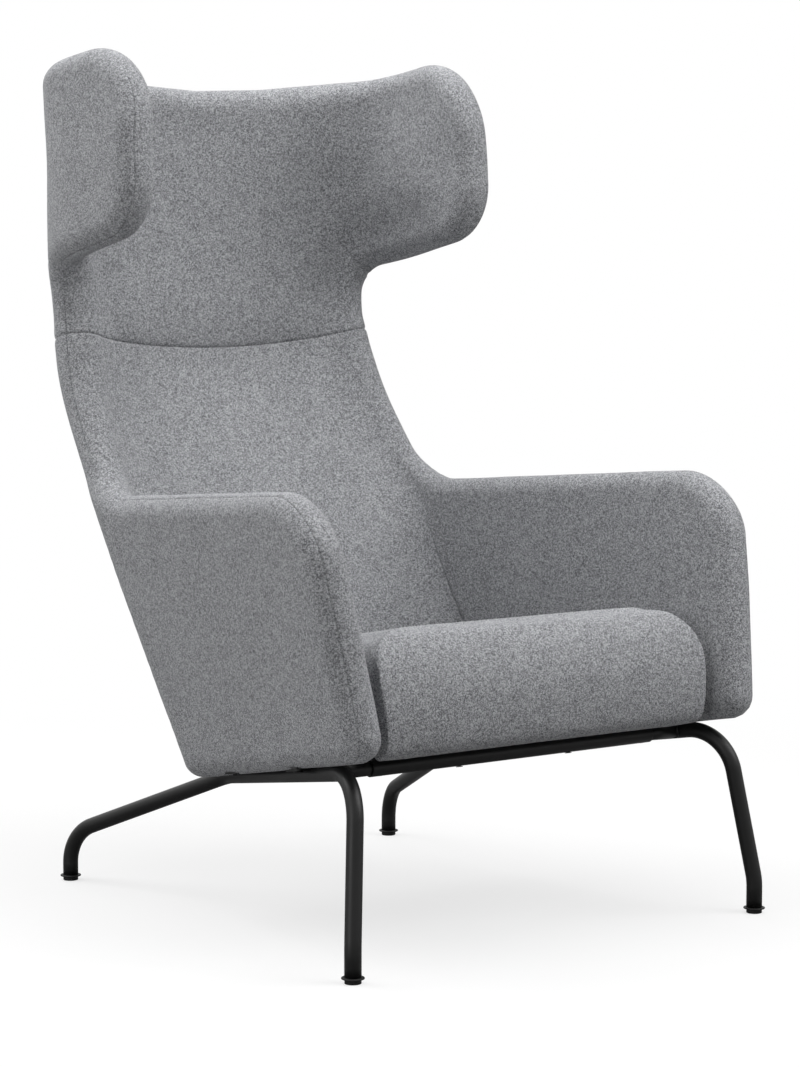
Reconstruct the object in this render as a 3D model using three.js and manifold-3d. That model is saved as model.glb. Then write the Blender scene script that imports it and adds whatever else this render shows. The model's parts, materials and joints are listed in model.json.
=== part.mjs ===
// Acoustic high back lounge chair: a winged, padded shell on a bent steel tube base.
// Millimetres, +Z up, the sitter faces -Y, the floor is z = 0 and x = 0 is the symmetry plane.
import * as THREE from 'three';
import { mergeVertices } from 'three/addons/utils/BufferGeometryUtils.js';
import Module from 'manifold-3d';

const wasm = await Module();
wasm.setup();

// Clearances shared by every joint of the assembly
const seatGap = 0.3;
const cutOverrun = 2;

// Base: two bent side frames
const tubeDiameter = 21;
const tubeWall = 2;
const frontFootAcross = 330;
const frontFootForward = 330;
const frontLegKinkHeight = 44;
const frontCornerAcross = 303;
const frontCornerForward = 300;
const frontCornerHeight = 247.5;
const rearCornerAcross = 190;
const rearCornerBack = 142.5;
const rearCornerHeight = 173;
const rearFootAcross = 278;
const rearFootBack = 405;
const rearLegHeight = 65.5;
const legBendRadius = 60;
const kinkBendRadius = 90;
const tubeSides = 12;
const bendSegmentAngle = THREE.MathUtils.degToRad(15);

// Base: cross tubes that slide over stubs welded to the side frames
const frontCrossForward = 229;
const rearCrossBack = 95;
const crossTubeWall = 1.5;
const crossShoulder = 54;
const stubInsertion = 30;
const lockScrewDiameter = 6;
const lockScrewFromEnd = 15;
const lockScrewSides = 8;

// Base: glides pressed into the tube feet
const tubeEndHeight = 8;
const glideFlangeDiameter = 28.6;
const glideFlangeThickness = 2;
const glidePuckDiameter = 20.6;
const glidePuckEdge = 1.5;
const glideStemLength = 14;
const glideSides = 12;

// Shell: the developed mid surface, as stations up the height of the chair
const surfaceTopDrop = 6;
const backReach = 496;
const shellHalfWidth = 281;
const cornerDepth = 170;
const backHeightShares = [0.162, 0.333, 0.505, 0.613, 0.694, 1];
const backReachShares = [0.3185, 0.54, 0.788, 0.9415, 0.994, 1];
const widthHeightShares = [0.162, 0.378, 0.577, 0.775, 1];
const widthShares = [0.875, 0.936, 0.989, 1, 1];
const cornerHeightShares = [0.162, 0.505, 0.703, 1];
const cornerDepthShares = [0.441, 0.606, 1, 0.812];
const armFlareAngle = THREE.MathUtils.degToRad(6.35);
const wingFlareAngle = THREE.MathUtils.degToRad(0.6);
const flareTopHeight = 900;
const flareBottomHeight = 560;
const backHandleShare = 0.56;
const cornerHandleShare = 0.92;
const planSteps = 48;

// Shell: thickness, which swells behind the neck
const innerHalfThickness = 27;
const outerHalfThickness = 27;
const neckSwell = 14;
const swellAcrossStart = 215;
const swellAcrossEnd = 300;
const swellHeightStart = 540;
const swellHeightEnd = 730;

// Shell: outline of the padded edge's centre line, as distance round the shell and height
const bottomCentreRise = 41.95;
const bottomCornerAcross = 235;
const bottomCornerRise = 30.5;
const bottomCornerRadius = 120;
const armFootAcross = 744;
const armFootRise = 34.2;
const armFootRadius = 12;
const armTopAcross = 868;
const armTopHeight = 561;
const armTopRadius = 32;
const armRootAcross = 269;
const armRootDrop = 44;
const armRootRadius = 80;
const waistAcross = 233;
const waistHeightShare = 0.4474;
const waistRadius = 220;
const wingRootAcross = 233;
const wingRootHeightShare = 0.5977;
const wingRootRadius = 58;
const wingBottomAcross = 494;
const wingBottomHeightShare = 0.6845;
const wingBottomRadius = 46;
const wingTopAcross = 489;
const headPartHeight = 599;
const wingTopRadius = 75;
const wingCrestAcross = 330;
const wingCrestDrop = 4;
const wingCrestRadius = 250;
const crownAcross = 110;
const crownDrop = 34;
const crownRadius = 300;
const crownCentreDrop = 38;

// Shell: seams between the cover panels
const headSeamHeightShare = 0.3614;
const headSeamRise = 20.5;
const armSeamTopAcross = 318;
const armSeamWaistAcross = 295;
const armSeamBottomAcross = 303;
const armSeamWaistShare = 0.621;
const seamAngleEdge = THREE.MathUtils.degToRad(-40);
const seamAngleNeck = THREE.MathUtils.degToRad(-4);
const seamGap = 0.5;

// Shell: spacing of the faceted surface
const rowSpacing = 72;
const columnSpacing = 68;
const cornerColumnSpacing = 38;
const cornerColumnStart = 175;
const cornerColumnEnd = 345;
const outlineLineStep = 74;
const outlineArcStep = 33;
const edgeClearShare = 0.52;
const innerRings = 4;
const outerRings = 2;
const foamRingStep = 2;
const staggerShare = 0.382;
const farShare = 50;

// Shell: fabric, foam and the steel frame inside
const fabricThickness = 1.6;
const frameRodDiameter = 14;
const frameEdgeDepth = 42;
const frameBendRadius = 30;
const frameRodSides = 6;
const frameLineStep = 120;
const frameArcStep = 54;
const crossRodDiameter = 10;
const lumbarRodRise = 38;
const neckRodDrop = 75;
const headRodRise = 72;
const cornerExtraSteps = 4;
const channelClearance = 0.4;
const bossDiameter = 18;
const bossBore = 6.6;

// Shell fixings: tabs welded to the side frames, bolts up into the frame's bosses
const tabThickness = 4;
const tabWidth = 28;
const tabEndMargin = 13;
const tabDrop = 2;
const frontBossAcross = 590;
const rearBossAcross = 400;
const boltDiameter = 6;
const boltHeadDiameter = 12;
const boltHeadHeight = 5;
const boltGrip = 20;
const boltSides = 8;

// Seat deck: a flat bar frame on the cross tubes, with webbing and a cloth
const deckBarWidth = 25;
const deckBarThickness = 8;
const deckMargin = 9;
const deckFrontHalfWidth = 208;
const deckRearHalfWidth = 196;
const deckWebbingWidth = 60;
const deckWebbingThickness = 2;
const deckWebbingCount = 4;
const deckClothThickness = 1;
const deckBoltDiameter = 5;
const deckBoltAcross = 90;
const deckBoltHeadDiameter = 9;
const deckBoltHeadHeight = 3;
const deckBoltBite = 6;

// Seat cushion, in the sloping plane of the side frames
const cushionFrontReach = 323;
const cushionBackClearance = 23.2;
const cushionTopHeight = 172;
const cushionArmClearance = 12.3;
const cushionCornerClearance = 23.2;
const cushionFrontRadius = 26;
const cushionRearRadius = 80;
const cushionCoreRadius = 12;
const cushionCrown = 1.5;
const cushionEdgeDepth = 170;
const radiusLossShare = 0.3;
const cushionCornerSteps = 4;
const cushionEdgeSteps = [6, 4];
const cushionFrontInsetShares = [1, 0.66, 0.424, 0.306, 0.194, 0.071, 0.012, 0, 0.047, 0.13, 0.235, 0.53, 1];
const cushionSideInsetShares = [1, 0.65, 0.41, 0.247, 0.14, 0.065, 0.03, 0, 0.018, 0.082, 0.19, 0.53, 1];
const cushionRearInsetShares = [1, 0.8, 0.6, 0.42, 0.294, 0.235, 0.188, 0.094, 0.029, 0.012, 0.141, 0.53, 1];
const cushionFrontHeightShares = [0, 0, 0, -0.05, -0.095, -0.031, 0.183, 0.45, 0.705, 0.87, 0.965, 0.99, 1];
const cushionSideHeightShares = [0, 0, 0, 0, 0.035, 0.149, 0.35, 0.551, 0.718, 0.846, 0.92, 0.973, 1];
const cushionRearHeightShares = [0, 0, 0, 0, 0, 0.076, 0.384, 0.665, 0.853, 0.946, 0.993, 1, 1];
const zipLength = 380;
const zipWidth = 8;
const zipHeight = 26;

// Finishes taken from the photograph
const felt = { color: 0x808286, roughness: 0.95, metalness: 0 };
const feltDark = { color: 0x77797d, roughness: 0.95, metalness: 0 };
const powderCoat = { color: 0x232323, roughness: 0.45, metalness: 0.2 };
const blackNylon = { color: 0x161616, roughness: 0.6, metalness: 0 };
const zincSteel = { color: 0x9a9a9c, roughness: 0.35, metalness: 0.9 };
const paleFoam = { color: 0xd8d2bd, roughness: 0.9, metalness: 0 };
const blackSteel = { color: 0x2a2a2c, roughness: 0.5, metalness: 0.6 };
const blackWebbing = { color: 0x1c1c1e, roughness: 0.9, metalness: 0 };

// The rail plane is the sloping plane of both side rails; the seat and the cross tubes are built in it
const chair = new THREE.Group();
const assembly = new THREE.Group();
const railPlane = new THREE.Group();
chair.add(assembly);
assembly.add(railPlane);

function addPart(parent, name, geometry, finish) {
  const mesh = new THREE.Mesh(geometry, new THREE.MeshStandardMaterial(finish));
  mesh.name = name;
  parent.add(mesh);
  return mesh;
}

function indexedGeometry(points, triangles) {
  const geometry = new THREE.BufferGeometry();
  geometry.setAttribute('position', new THREE.Float32BufferAttribute(points.flatMap((p) => [p.x, p.y, p.z]), 3));
  geometry.setIndex(triangles.flat());
  geometry.computeVertexNormals();
  return geometry;
}

// Joining and cutting closed solids
function toManifold(geometry) {
  const bare = geometry.clone();
  bare.deleteAttribute('normal');
  bare.deleteAttribute('uv');
  const merged = mergeVertices(bare);
  return new wasm.Manifold(new wasm.Mesh({
    numProp: 3,
    vertProperties: new Float32Array(merged.attributes.position.array),
    triVerts: new Uint32Array(merged.index.array),
  }));
}

function fromManifold(manifold) {
  const mesh = manifold.getMesh();
  const geometry = new THREE.BufferGeometry();
  geometry.setAttribute('position', new THREE.BufferAttribute(new Float32Array(mesh.vertProperties), 3));
  geometry.setIndex(new THREE.BufferAttribute(new Uint32Array(mesh.triVerts), 1));
  geometry.computeVertexNormals();
  return geometry;
}

function cut(body, tools) {
  return fromManifold(tools.reduce((solid, tool) => solid.subtract(toManifold(tool)), toManifold(body)));
}

function common(body, tool) {
  return fromManifold(toManifold(body).intersect(toManifold(tool)));
}

// What lies at least a distance from the origin along a direction
function beyond(body, direction, distance) {
  return fromManifold(toManifold(body).trimByPlane(direction.toArray(), distance));
}

function join(bodies) {
  return fromManifold(bodies.map(toManifold).reduce((solid, next) => solid.add(next)));
}

// A polyline whose inner corners become arcs; each corner is {point, radius}
function filletPath(corners, maxAngle) {
  const path = [corners[0].point.clone()];
  for (let i = 1; i < corners.length - 1; i += 1) {
    const { point, radius } = corners[i];
    const toPrevious = corners[i - 1].point.clone().sub(point).normalize();
    const toNext = corners[i + 1].point.clone().sub(point).normalize();
    const opening = toPrevious.angleTo(toNext);
    const tangentLength = radius / Math.tan(opening / 2);
    const bisector = toPrevious.clone().add(toNext).normalize();
    const centre = point.clone().addScaledVector(bisector, radius / Math.sin(opening / 2));
    const start = point.clone().addScaledVector(toPrevious, tangentLength).sub(centre);
    const axis = toPrevious.clone().cross(toNext).normalize().negate();
    const turn = Math.PI - opening;
    const count = Math.max(2, Math.ceil(turn / maxAngle));
    for (let k = 0; k <= count; k += 1) {
      path.push(start.clone().applyAxisAngle(axis, (turn * k) / count).add(centre));
    }
  }
  path.push(corners.at(-1).point.clone());
  return path;
}

// A round rod or tube swept along a path; a bore radius of zero makes it solid
function sweep(path, radius, sides, boreRadius = 0) {
  const tangents = path.map((p, i) => {
    const before = i > 0 ? p.clone().sub(path[i - 1]).normalize() : new THREE.Vector3();
    const after = i < path.length - 1 ? path[i + 1].clone().sub(p).normalize() : new THREE.Vector3();
    return before.add(after).normalize();
  });
  const start = Math.abs(tangents[0].z) < Math.SQRT1_2 ? new THREE.Vector3(0, 0, 1) : new THREE.Vector3(1, 0, 0);
  let side = start.sub(tangents[0].clone().multiplyScalar(start.dot(tangents[0]))).normalize();
  const points = [];
  const rings = boreRadius > 0 ? [radius, boreRadius] : [radius];
  path.forEach((p, i) => {
    side = side.clone().addScaledVector(tangents[i], -side.dot(tangents[i])).normalize();
    const other = tangents[i].clone().cross(side);
    for (const ringRadius of rings) {
      for (let k = 0; k < sides; k += 1) {
        const angle = (2 * Math.PI * k) / sides;
        points.push(p.clone()
          .addScaledVector(side, ringRadius * Math.cos(angle))
          .addScaledVector(other, ringRadius * Math.sin(angle)));
      }
    }
  });
  const stride = sides * rings.length;
  const last = (path.length - 1) * stride;
  const triangles = [];
  const quad = (a, b, c, d) => triangles.push([a, b, c], [a, c, d]);
  for (let i = 0; i < path.length - 1; i += 1) {
    for (let k = 0; k < sides; k += 1) {
      const next = (k + 1) % sides;
      const a = i * stride;
      quad(a + k, a + next, a + stride + next, a + stride + k);
      if (rings.length > 1) {
        quad(a + sides + next, a + sides + k, a + stride + sides + k, a + stride + sides + next);
      }
    }
  }
  if (rings.length > 1) {
    for (let k = 0; k < sides; k += 1) {
      const next = (k + 1) % sides;
      quad(k, sides + k, sides + next, next);
      quad(last + k, last + next, last + sides + next, last + sides + k);
    }
  } else {
    for (let k = 1; k < sides - 1; k += 1) {
      triangles.push([0, k + 1, k], [last, last + k, last + k + 1]);
    }
  }
  return indexedGeometry(points, triangles);
}

function rodBetween(from, to, radius, sides, boreRadius = 0) {
  return sweep([from, to], radius, sides, boreRadius);
}

// Positions in the rail plane are across, along the slope and above it
const railSlope = Math.atan2(frontCornerHeight - rearCornerHeight, frontCornerForward + rearCornerBack);
railPlane.rotation.x = -railSlope;
railPlane.position.z = frontCornerHeight - frontCornerForward * Math.tan(railSlope);
railPlane.updateMatrix();
const fromRailPlane = railPlane.matrix;
const intoRailPlane = fromRailPlane.clone().invert();
const alongOf = (y) => y / Math.cos(railSlope);

const tubeRadius = tubeDiameter / 2;
const railTaper = (frontCornerAcross - rearCornerAcross) / (alongOf(frontCornerForward) + alongOf(rearCornerBack));
const railAcross = (along) => frontCornerAcross - (along + alongOf(frontCornerForward)) * railTaper;

// Base
function sideFramePath(side) {
  const at = (across, y, z) => new THREE.Vector3(side * across, y, z);
  return filletPath([
    { point: at(frontFootAcross, -frontFootForward, tubeEndHeight) },
    { point: at(frontFootAcross, -frontFootForward, frontLegKinkHeight), radius: kinkBendRadius },
    { point: at(frontCornerAcross, -frontCornerForward, frontCornerHeight), radius: legBendRadius },
    { point: at(rearCornerAcross, rearCornerBack, rearCornerHeight), radius: legBendRadius },
    { point: at(rearFootAcross, rearFootBack, rearLegHeight), radius: legBendRadius },
    { point: at(rearFootAcross, rearFootBack, tubeEndHeight) },
  ], bendSegmentAngle);
}

function addSideFrames() {
  for (const [name, side] of [['left', -1], ['right', 1]]) {
    const tube = sweep(sideFramePath(side), tubeRadius, tubeSides, tubeRadius - tubeWall);
    addPart(assembly, `${name}_side_frame`, tube, powderCoat);
  }
}

// The room a side rail needs near one point, for coping the parts welded to it
function railSpace(along, side) {
  const ends = [along - crossShoulder, along + crossShoulder];
  const path = ends.map((v) => new THREE.Vector3(side * railAcross(v), v, 0));
  return sweep(path, tubeRadius + seatGap, tubeSides * 2);
}

const crossBoreRadius = tubeRadius - crossTubeWall;
const stubRadius = crossBoreRadius - seatGap;

function addCrossTube(name, along) {
  const railHere = railAcross(along);
  const tubeEnd = railHere - crossShoulder;
  const screwAcross = tubeEnd - lockScrewFromEnd;
  const screwRadius = lockScrewDiameter / 2;
  const at = (across, above = 0) => new THREE.Vector3(across, along, above);
  const screwHoles = [-1, 1].map((side) => rodBetween(
    at(side * screwAcross, -tubeRadius - cutOverrun),
    at(side * screwAcross, -stubRadius / 2),
    screwRadius + seatGap,
    lockScrewSides,
  ));
  const tube = rodBetween(at(-tubeEnd), at(tubeEnd), tubeRadius, tubeSides, crossBoreRadius);
  const boltHoles = deckBolts(deckBoltDiameter / 2 + seatGap, deckBoltDiameter / 2 + seatGap, deckBoltHeadHeight);
  addPart(railPlane, `${name}_cross_tube`, cut(tube, [...screwHoles, ...boltHoles]), powderCoat);
  for (const [sideName, side] of [['left', -1], ['right', 1]]) {
    const stub = rodBetween(at(side * (tubeEnd - stubInsertion)), at(side * railHere), stubRadius, tubeSides);
    const drilled = cut(stub, [screwHoles[side < 0 ? 0 : 1], railSpace(along, side)]);
    addPart(railPlane, `${name}_${sideName}_stub`, drilled, powderCoat);
    const screw = rodBetween(
      at(side * screwAcross, -tubeRadius),
      at(side * screwAcross, -stubRadius / 2 - seatGap),
      screwRadius,
      lockScrewSides,
    );
    addPart(railPlane, `${name}_${sideName}_lock_screw`, screw, zincSteel);
  }
}

function glideGeometry() {
  const flange = glideFlangeDiameter / 2;
  const puck = glidePuckDiameter / 2;
  const flangeTop = tubeEndHeight - seatGap;
  const flangeBottom = flangeTop - glideFlangeThickness;
  const stem = (tubeRadius - tubeWall) * Math.cos(Math.PI / tubeSides) - seatGap;
  const stemTop = tubeEndHeight + glideStemLength;
  const profile = [
    [0, 0],
    [puck - glidePuckEdge, 0],
    [puck, glidePuckEdge],
    [puck, flangeBottom],
    [flange - glidePuckEdge / 2, flangeBottom],
    [flange, (flangeBottom + flangeTop) / 2],
    [flange - glidePuckEdge / 2, flangeTop],
    [stem, flangeTop],
    [stem, stemTop - glidePuckEdge],
    [stem - glidePuckEdge, stemTop],
    [0, stemTop],
  ];
  const lathe = new THREE.LatheGeometry(profile.map(([r, z]) => new THREE.Vector2(r, z)), glideSides);
  return lathe.rotateX(Math.PI / 2);
}

function addGlides() {
  for (const [name, side] of [['left', -1], ['right', 1]]) {
    const front = addPart(assembly, `front_${name}_glide`, glideGeometry(), blackNylon);
    front.position.set(side * frontFootAcross, -frontFootForward, 0);
    const rear = addPart(assembly, `rear_${name}_glide`, glideGeometry(), blackNylon);
    rear.position.set(side * rearFootAcross, rearFootBack, 0);
  }
}

// Heights of the wing and of the shell's surface follow the arm and the head part
const armRootHeight = armTopHeight - armRootDrop;
const wingTopHeight = armRootHeight + headPartHeight;
const shellSurfaceHeight = wingTopHeight - surfaceTopDrop;

// Natural cubic spline through stations, straight beyond the ends
function naturalSpline(xs, ys) {
  const n = xs.length;
  const bend = new Array(n).fill(0);
  const work = new Array(n).fill(0);
  for (let i = 1; i < n - 1; i += 1) {
    const ratio = (xs[i] - xs[i - 1]) / (xs[i + 1] - xs[i - 1]);
    const pivot = ratio * bend[i - 1] + 2;
    const slopeChange = (ys[i + 1] - ys[i]) / (xs[i + 1] - xs[i]) - (ys[i] - ys[i - 1]) / (xs[i] - xs[i - 1]);
    bend[i] = (ratio - 1) / pivot;
    work[i] = ((6 * slopeChange) / (xs[i + 1] - xs[i - 1]) - ratio * work[i - 1]) / pivot;
  }
  bend[n - 1] = 0;
  for (let i = n - 2; i >= 0; i -= 1) {
    bend[i] = bend[i] * bend[i + 1] + work[i];
  }
  return (x) => {
    const clamped = Math.min(Math.max(x, xs[0]), xs[n - 1]);
    let k = 0;
    while (k < n - 2 && clamped > xs[k + 1]) k += 1;
    const width = xs[k + 1] - xs[k];
    const a = (xs[k + 1] - clamped) / width;
    const b = 1 - a;
    const value = a * ys[k] + b * ys[k + 1]
      + (((a ** 3 - a) * bend[k] + (b ** 3 - b) * bend[k + 1]) * width ** 2) / 6;
    if (x === clamped) return value;
    const slope = (ys[k + 1] - ys[k]) / width
      + ((3 * b ** 2 - 1) * bend[k + 1] - (3 * a ** 2 - 1) * bend[k]) * (width / 6);
    return value + slope * (x - clamped);
  };
}

const backDepthAt = naturalSpline(
  backHeightShares.map((s) => s * shellSurfaceHeight),
  backReachShares.map((s) => s * backReach),
);
const halfWidthAt = naturalSpline(
  widthHeightShares.map((s) => s * shellSurfaceHeight),
  widthShares.map((s) => s * shellHalfWidth),
);
const cornerDepthAt = naturalSpline(
  cornerHeightShares.map((s) => s * shellSurfaceHeight),
  cornerDepthShares.map((s) => s * cornerDepth),
);
const ramp = (value, from, to) => THREE.MathUtils.smoothstep(value, from, to);

// Plan curve of the mid surface at one height: a cubic back and corner, then a straight side
const planCache = new Map();
function planCurve(z) {
  const key = z.toFixed(3);
  if (planCache.has(key)) return planCache.get(key);
  const depth = backDepthAt(z);
  const half = halfWidthAt(z);
  const corner = cornerDepthAt(z);
  const flare = THREE.MathUtils.lerp(armFlareAngle, wingFlareAngle, ramp(z, flareBottomHeight, flareTopHeight));
  const forward = new THREE.Vector2(Math.sin(flare), -Math.cos(flare));
  const end = new THREE.Vector2(half, depth - corner);
  const curve = new THREE.CubicBezierCurve(
    new THREE.Vector2(0, depth),
    new THREE.Vector2(backHandleShare * half, depth),
    end.clone().addScaledVector(forward, -cornerHandleShare * corner),
    end,
  );
  const points = curve.getPoints(planSteps);
  const lengths = [0];
  for (let i = 1; i < points.length; i += 1) {
    lengths.push(lengths[i - 1] + points[i].distanceTo(points[i - 1]));
  }
  const plan = { points, lengths, forward };
  planCache.set(key, plan);
  return plan;
}

function midPoint(round, z) {
  const { points, lengths, forward } = planCurve(z);
  const distance = Math.abs(round);
  const total = lengths.at(-1);
  const flat = new THREE.Vector2();
  if (distance >= total) {
    flat.copy(points.at(-1)).addScaledVector(forward, distance - total);
  } else {
    let k = 0;
    while (lengths[k + 1] < distance) k += 1;
    flat.lerpVectors(points[k], points[k + 1], (distance - lengths[k]) / (lengths[k + 1] - lengths[k]));
  }
  return new THREE.Vector3(Math.sign(round) * flat.x, flat.y, z);
}

// Directions and half thicknesses at a point of the developed surface
const probeShare = 0.02;
const frameCache = new Map();
function surfaceFrame(round, z) {
  const key = `${round.toFixed(3)},${z.toFixed(3)}`;
  if (frameCache.has(key)) return frameCache.get(key);
  const probe = probeShare * frameEdgeDepth;
  const across = midPoint(round + probe, z).sub(midPoint(round - probe, z)).divideScalar(2 * probe);
  const upward = midPoint(round, z + probe).sub(midPoint(round, z - probe)).divideScalar(2 * probe);
  const normal = across.clone().cross(upward).normalize();
  const swell = neckSwell
    * (1 - ramp(Math.abs(round), swellAcrossStart, swellAcrossEnd))
    * ramp(z, swellHeightStart, swellHeightEnd);
  const inner = innerHalfThickness;
  const outer = outerHalfThickness + swell;
  const frame = {
    centre: midPoint(round, z).addScaledVector(normal, (inner - outer) / 2),
    radius: (inner + outer) / 2,
    across,
    upward,
    normal,
  };
  frameCache.set(key, frame);
  return frame;
}

// Outline of the shell in the developed plane, right half from bottom centre to top centre
// Heights of the outline, which follow the base, the arm and the wing
const railHeightUnder = (round, z) => railPlane.position.z - midPoint(round, z).y * Math.tan(railSlope);
const bottomCentreHeight = railHeightUnder(0, rearCornerHeight) + bottomCentreRise;
const bottomCornerHeight = railHeightUnder(bottomCornerAcross, rearCornerHeight) + bottomCornerRise;
const armFootHeight = railHeightUnder(armFootAcross, frontCornerHeight) + armFootRise;
const waistHeight = armRootHeight + waistHeightShare * headPartHeight;
const wingRootHeight = armRootHeight + wingRootHeightShare * headPartHeight;
const wingBottomHeight = armRootHeight + wingBottomHeightShare * headPartHeight;
const wingCrestHeight = wingTopHeight - wingCrestDrop;
const crownHeight = wingTopHeight - crownDrop;
const crownCentreHeight = wingTopHeight - crownCentreDrop;
const headSeamHeight = armRootHeight + headSeamHeightShare * headPartHeight;
const armSeamWaistHeight = THREE.MathUtils.lerp(bottomCornerHeight, armRootHeight, armSeamWaistShare);

const outlineCorners = [
  [0, bottomCentreHeight, 0],
  [bottomCornerAcross, bottomCornerHeight, bottomCornerRadius],
  [armFootAcross, armFootHeight, armFootRadius],
  [armTopAcross, armTopHeight, armTopRadius],
  [armRootAcross, armRootHeight, armRootRadius],
  [waistAcross, waistHeight, waistRadius],
  [wingRootAcross, wingRootHeight, wingRootRadius],
  [wingBottomAcross, wingBottomHeight, wingBottomRadius],
  [wingTopAcross, wingTopHeight, wingTopRadius],
  [wingCrestAcross, wingCrestHeight, wingCrestRadius],
  [crownAcross, crownHeight, crownRadius],
  [0, crownCentreHeight, 0],
];

function roundedOutline(corners, lineStep, arcStep) {
  const outline = [new THREE.Vector2(corners[0][0], corners[0][1])];
  const lineTo = (target) => {
    const from = outline.at(-1);
    const count = Math.max(1, Math.round(from.distanceTo(target) / lineStep));
    for (let k = 1; k <= count; k += 1) outline.push(from.clone().lerp(target, k / count));
  };
  for (let i = 1; i < corners.length - 1; i += 1) {
    const [[ax, ay], [bx, by, radius], [cx, cy]] = [corners[i - 1], corners[i], corners[i + 1]];
    const apex = new THREE.Vector2(bx, by);
    const toPrevious = new THREE.Vector2(ax, ay).sub(apex).normalize();
    const toNext = new THREE.Vector2(cx, cy).sub(apex).normalize();
    const opening = Math.acos(THREE.MathUtils.clamp(toPrevious.dot(toNext), -1, 1));
    const reach = radius / Math.tan(opening / 2);
    const centre = toPrevious.clone().add(toNext).normalize()
      .multiplyScalar(radius / Math.sin(opening / 2)).add(apex);
    const arcStart = toPrevious.clone().multiplyScalar(reach).add(apex);
    const turn = Math.sign(toPrevious.cross(toNext)) * (opening - Math.PI);
    lineTo(arcStart);
    const count = Math.max(1, Math.ceil((Math.abs(turn) * radius) / arcStep));
    for (let k = 1; k <= count; k += 1) {
      outline.push(arcStart.clone().rotateAround(centre, (turn * k) / count));
    }
  }
  lineTo(new THREE.Vector2(corners.at(-1)[0], corners.at(-1)[1]));
  return outline;
}

function outlineIndexNear(outline, round, z) {
  const target = new THREE.Vector2(round, z);
  return outline.reduce((best, p, i) => (
    p.distanceTo(target) < outline[best].distanceTo(target) ? i : best), 0);
}

// Delaunay triangulation of points in the plane
function delaunay(points) {
  const far = farShare * shellSurfaceHeight;
  const all = [...points, new THREE.Vector2(-far, -far), new THREE.Vector2(far, -far), new THREE.Vector2(0, far)];
  const withCircle = (corners) => {
    const [a, b, c] = corners.map((i) => all[i]);
    const doubled = 2 * (a.x * (b.y - c.y) + b.x * (c.y - a.y) + c.x * (a.y - b.y));
    const centre = new THREE.Vector2(
      (a.lengthSq() * (b.y - c.y) + b.lengthSq() * (c.y - a.y) + c.lengthSq() * (a.y - b.y)) / doubled,
      (a.lengthSq() * (c.x - b.x) + b.lengthSq() * (a.x - c.x) + c.lengthSq() * (b.x - a.x)) / doubled,
    );
    return { corners, centre, radiusSquared: centre.distanceToSquared(a) };
  };
  const count = points.length;
  let triangles = [withCircle([count, count + 1, count + 2])];
  points.forEach((p, index) => {
    const rim = new Map();
    triangles = triangles.filter(({ corners, centre, radiusSquared }) => {
      if (p.distanceToSquared(centre) >= radiusSquared) return true;
      corners.forEach((a, k) => {
        const b = corners[(k + 1) % 3];
        if (!rim.delete(`${b},${a}`)) rim.set(`${a},${b}`, [a, b]);
      });
      return false;
    });
    for (const [a, b] of rim.values()) triangles.push(withCircle([a, b, index]));
  });
  return triangles.map((t) => t.corners).filter((corners) => Math.max(...corners) < count);
}

function insidePolygon(point, polygon) {
  let inside = false;
  polygon.forEach((a, i) => {
    const b = polygon[(i + 1) % polygon.length];
    const crosses = (a.y > point.y) !== (b.y > point.y);
    if (crosses && point.x < a.x + ((b.x - a.x) * (point.y - a.y)) / (b.y - a.y)) inside = !inside;
  });
  return inside;
}

function distanceToPolygon(point, polygon) {
  return Math.min(...polygon.map((a, i) => {
    const edge = polygon[(i + 1) % polygon.length].clone().sub(a);
    const share = THREE.MathUtils.clamp(point.clone().sub(a).dot(edge) / edge.lengthSq(), 0, 1);
    return a.clone().addScaledVector(edge, share).distanceTo(point);
  }));
}

// Interior points in staggered columns, closer together round the corners of the shell
function fillPoints(polygon) {
  const filling = [];
  let column = 1;
  for (let round = columnSpacing; round < armTopAcross; column += 1) {
    const start = bottomCentreHeight + rowSpacing * ((column * staggerShare) % 1);
    for (let z = start; z < shellSurfaceHeight; z += rowSpacing) {
      const candidate = new THREE.Vector2(round, z);
      const clear = insidePolygon(candidate, polygon)
        && distanceToPolygon(candidate, polygon) > edgeClearShare * rowSpacing;
      if (clear) filling.push(candidate);
    }
    round += round > cornerColumnStart && round < cornerColumnEnd ? cornerColumnSpacing : columnSpacing;
  }
  return filling;
}

const outline = roundedOutline(outlineCorners, outlineLineStep, outlineArcStep);
const seamSteps = (length) => Math.max(2, Math.round(length / rowSpacing));

function sampledSeam(from, to, middle) {
  const control = middle.clone().multiplyScalar(2).addScaledVector(from, -0.5).addScaledVector(to, -0.5);
  const curve = new THREE.QuadraticBezierCurve(from, control, to);
  return curve.getPoints(seamSteps(from.distanceTo(to)));
}

// Where the seams meet the outline
const armSeamBottom = outlineIndexNear(outline, armSeamBottomAcross, bottomCornerHeight);
const armSeamTop = outlineIndexNear(outline, armSeamTopAcross, armRootHeight);
const headSeamEnd = outlineIndexNear(outline, waistAcross, headSeamHeight + headSeamRise);
outline[headSeamEnd].y = headSeamHeight + headSeamRise;

const armSeam = sampledSeam(
  outline[armSeamBottom],
  outline[armSeamTop],
  new THREE.Vector2(armSeamWaistAcross, armSeamWaistHeight),
);
const headSeam = sampledSeam(
  new THREE.Vector2(0, headSeamHeight),
  outline[headSeamEnd],
  new THREE.Vector2(outline[headSeamEnd].x / 2, headSeamHeight + headSeamRise / 4),
);

function centreLine(fromHeight, toHeight) {
  const steps = seamSteps(Math.abs(toHeight - fromHeight));
  return Array.from({ length: steps - 1 }, (_, k) => (
    new THREE.Vector2(0, THREE.MathUtils.lerp(fromHeight, toHeight, (k + 1) / steps))));
}

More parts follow.
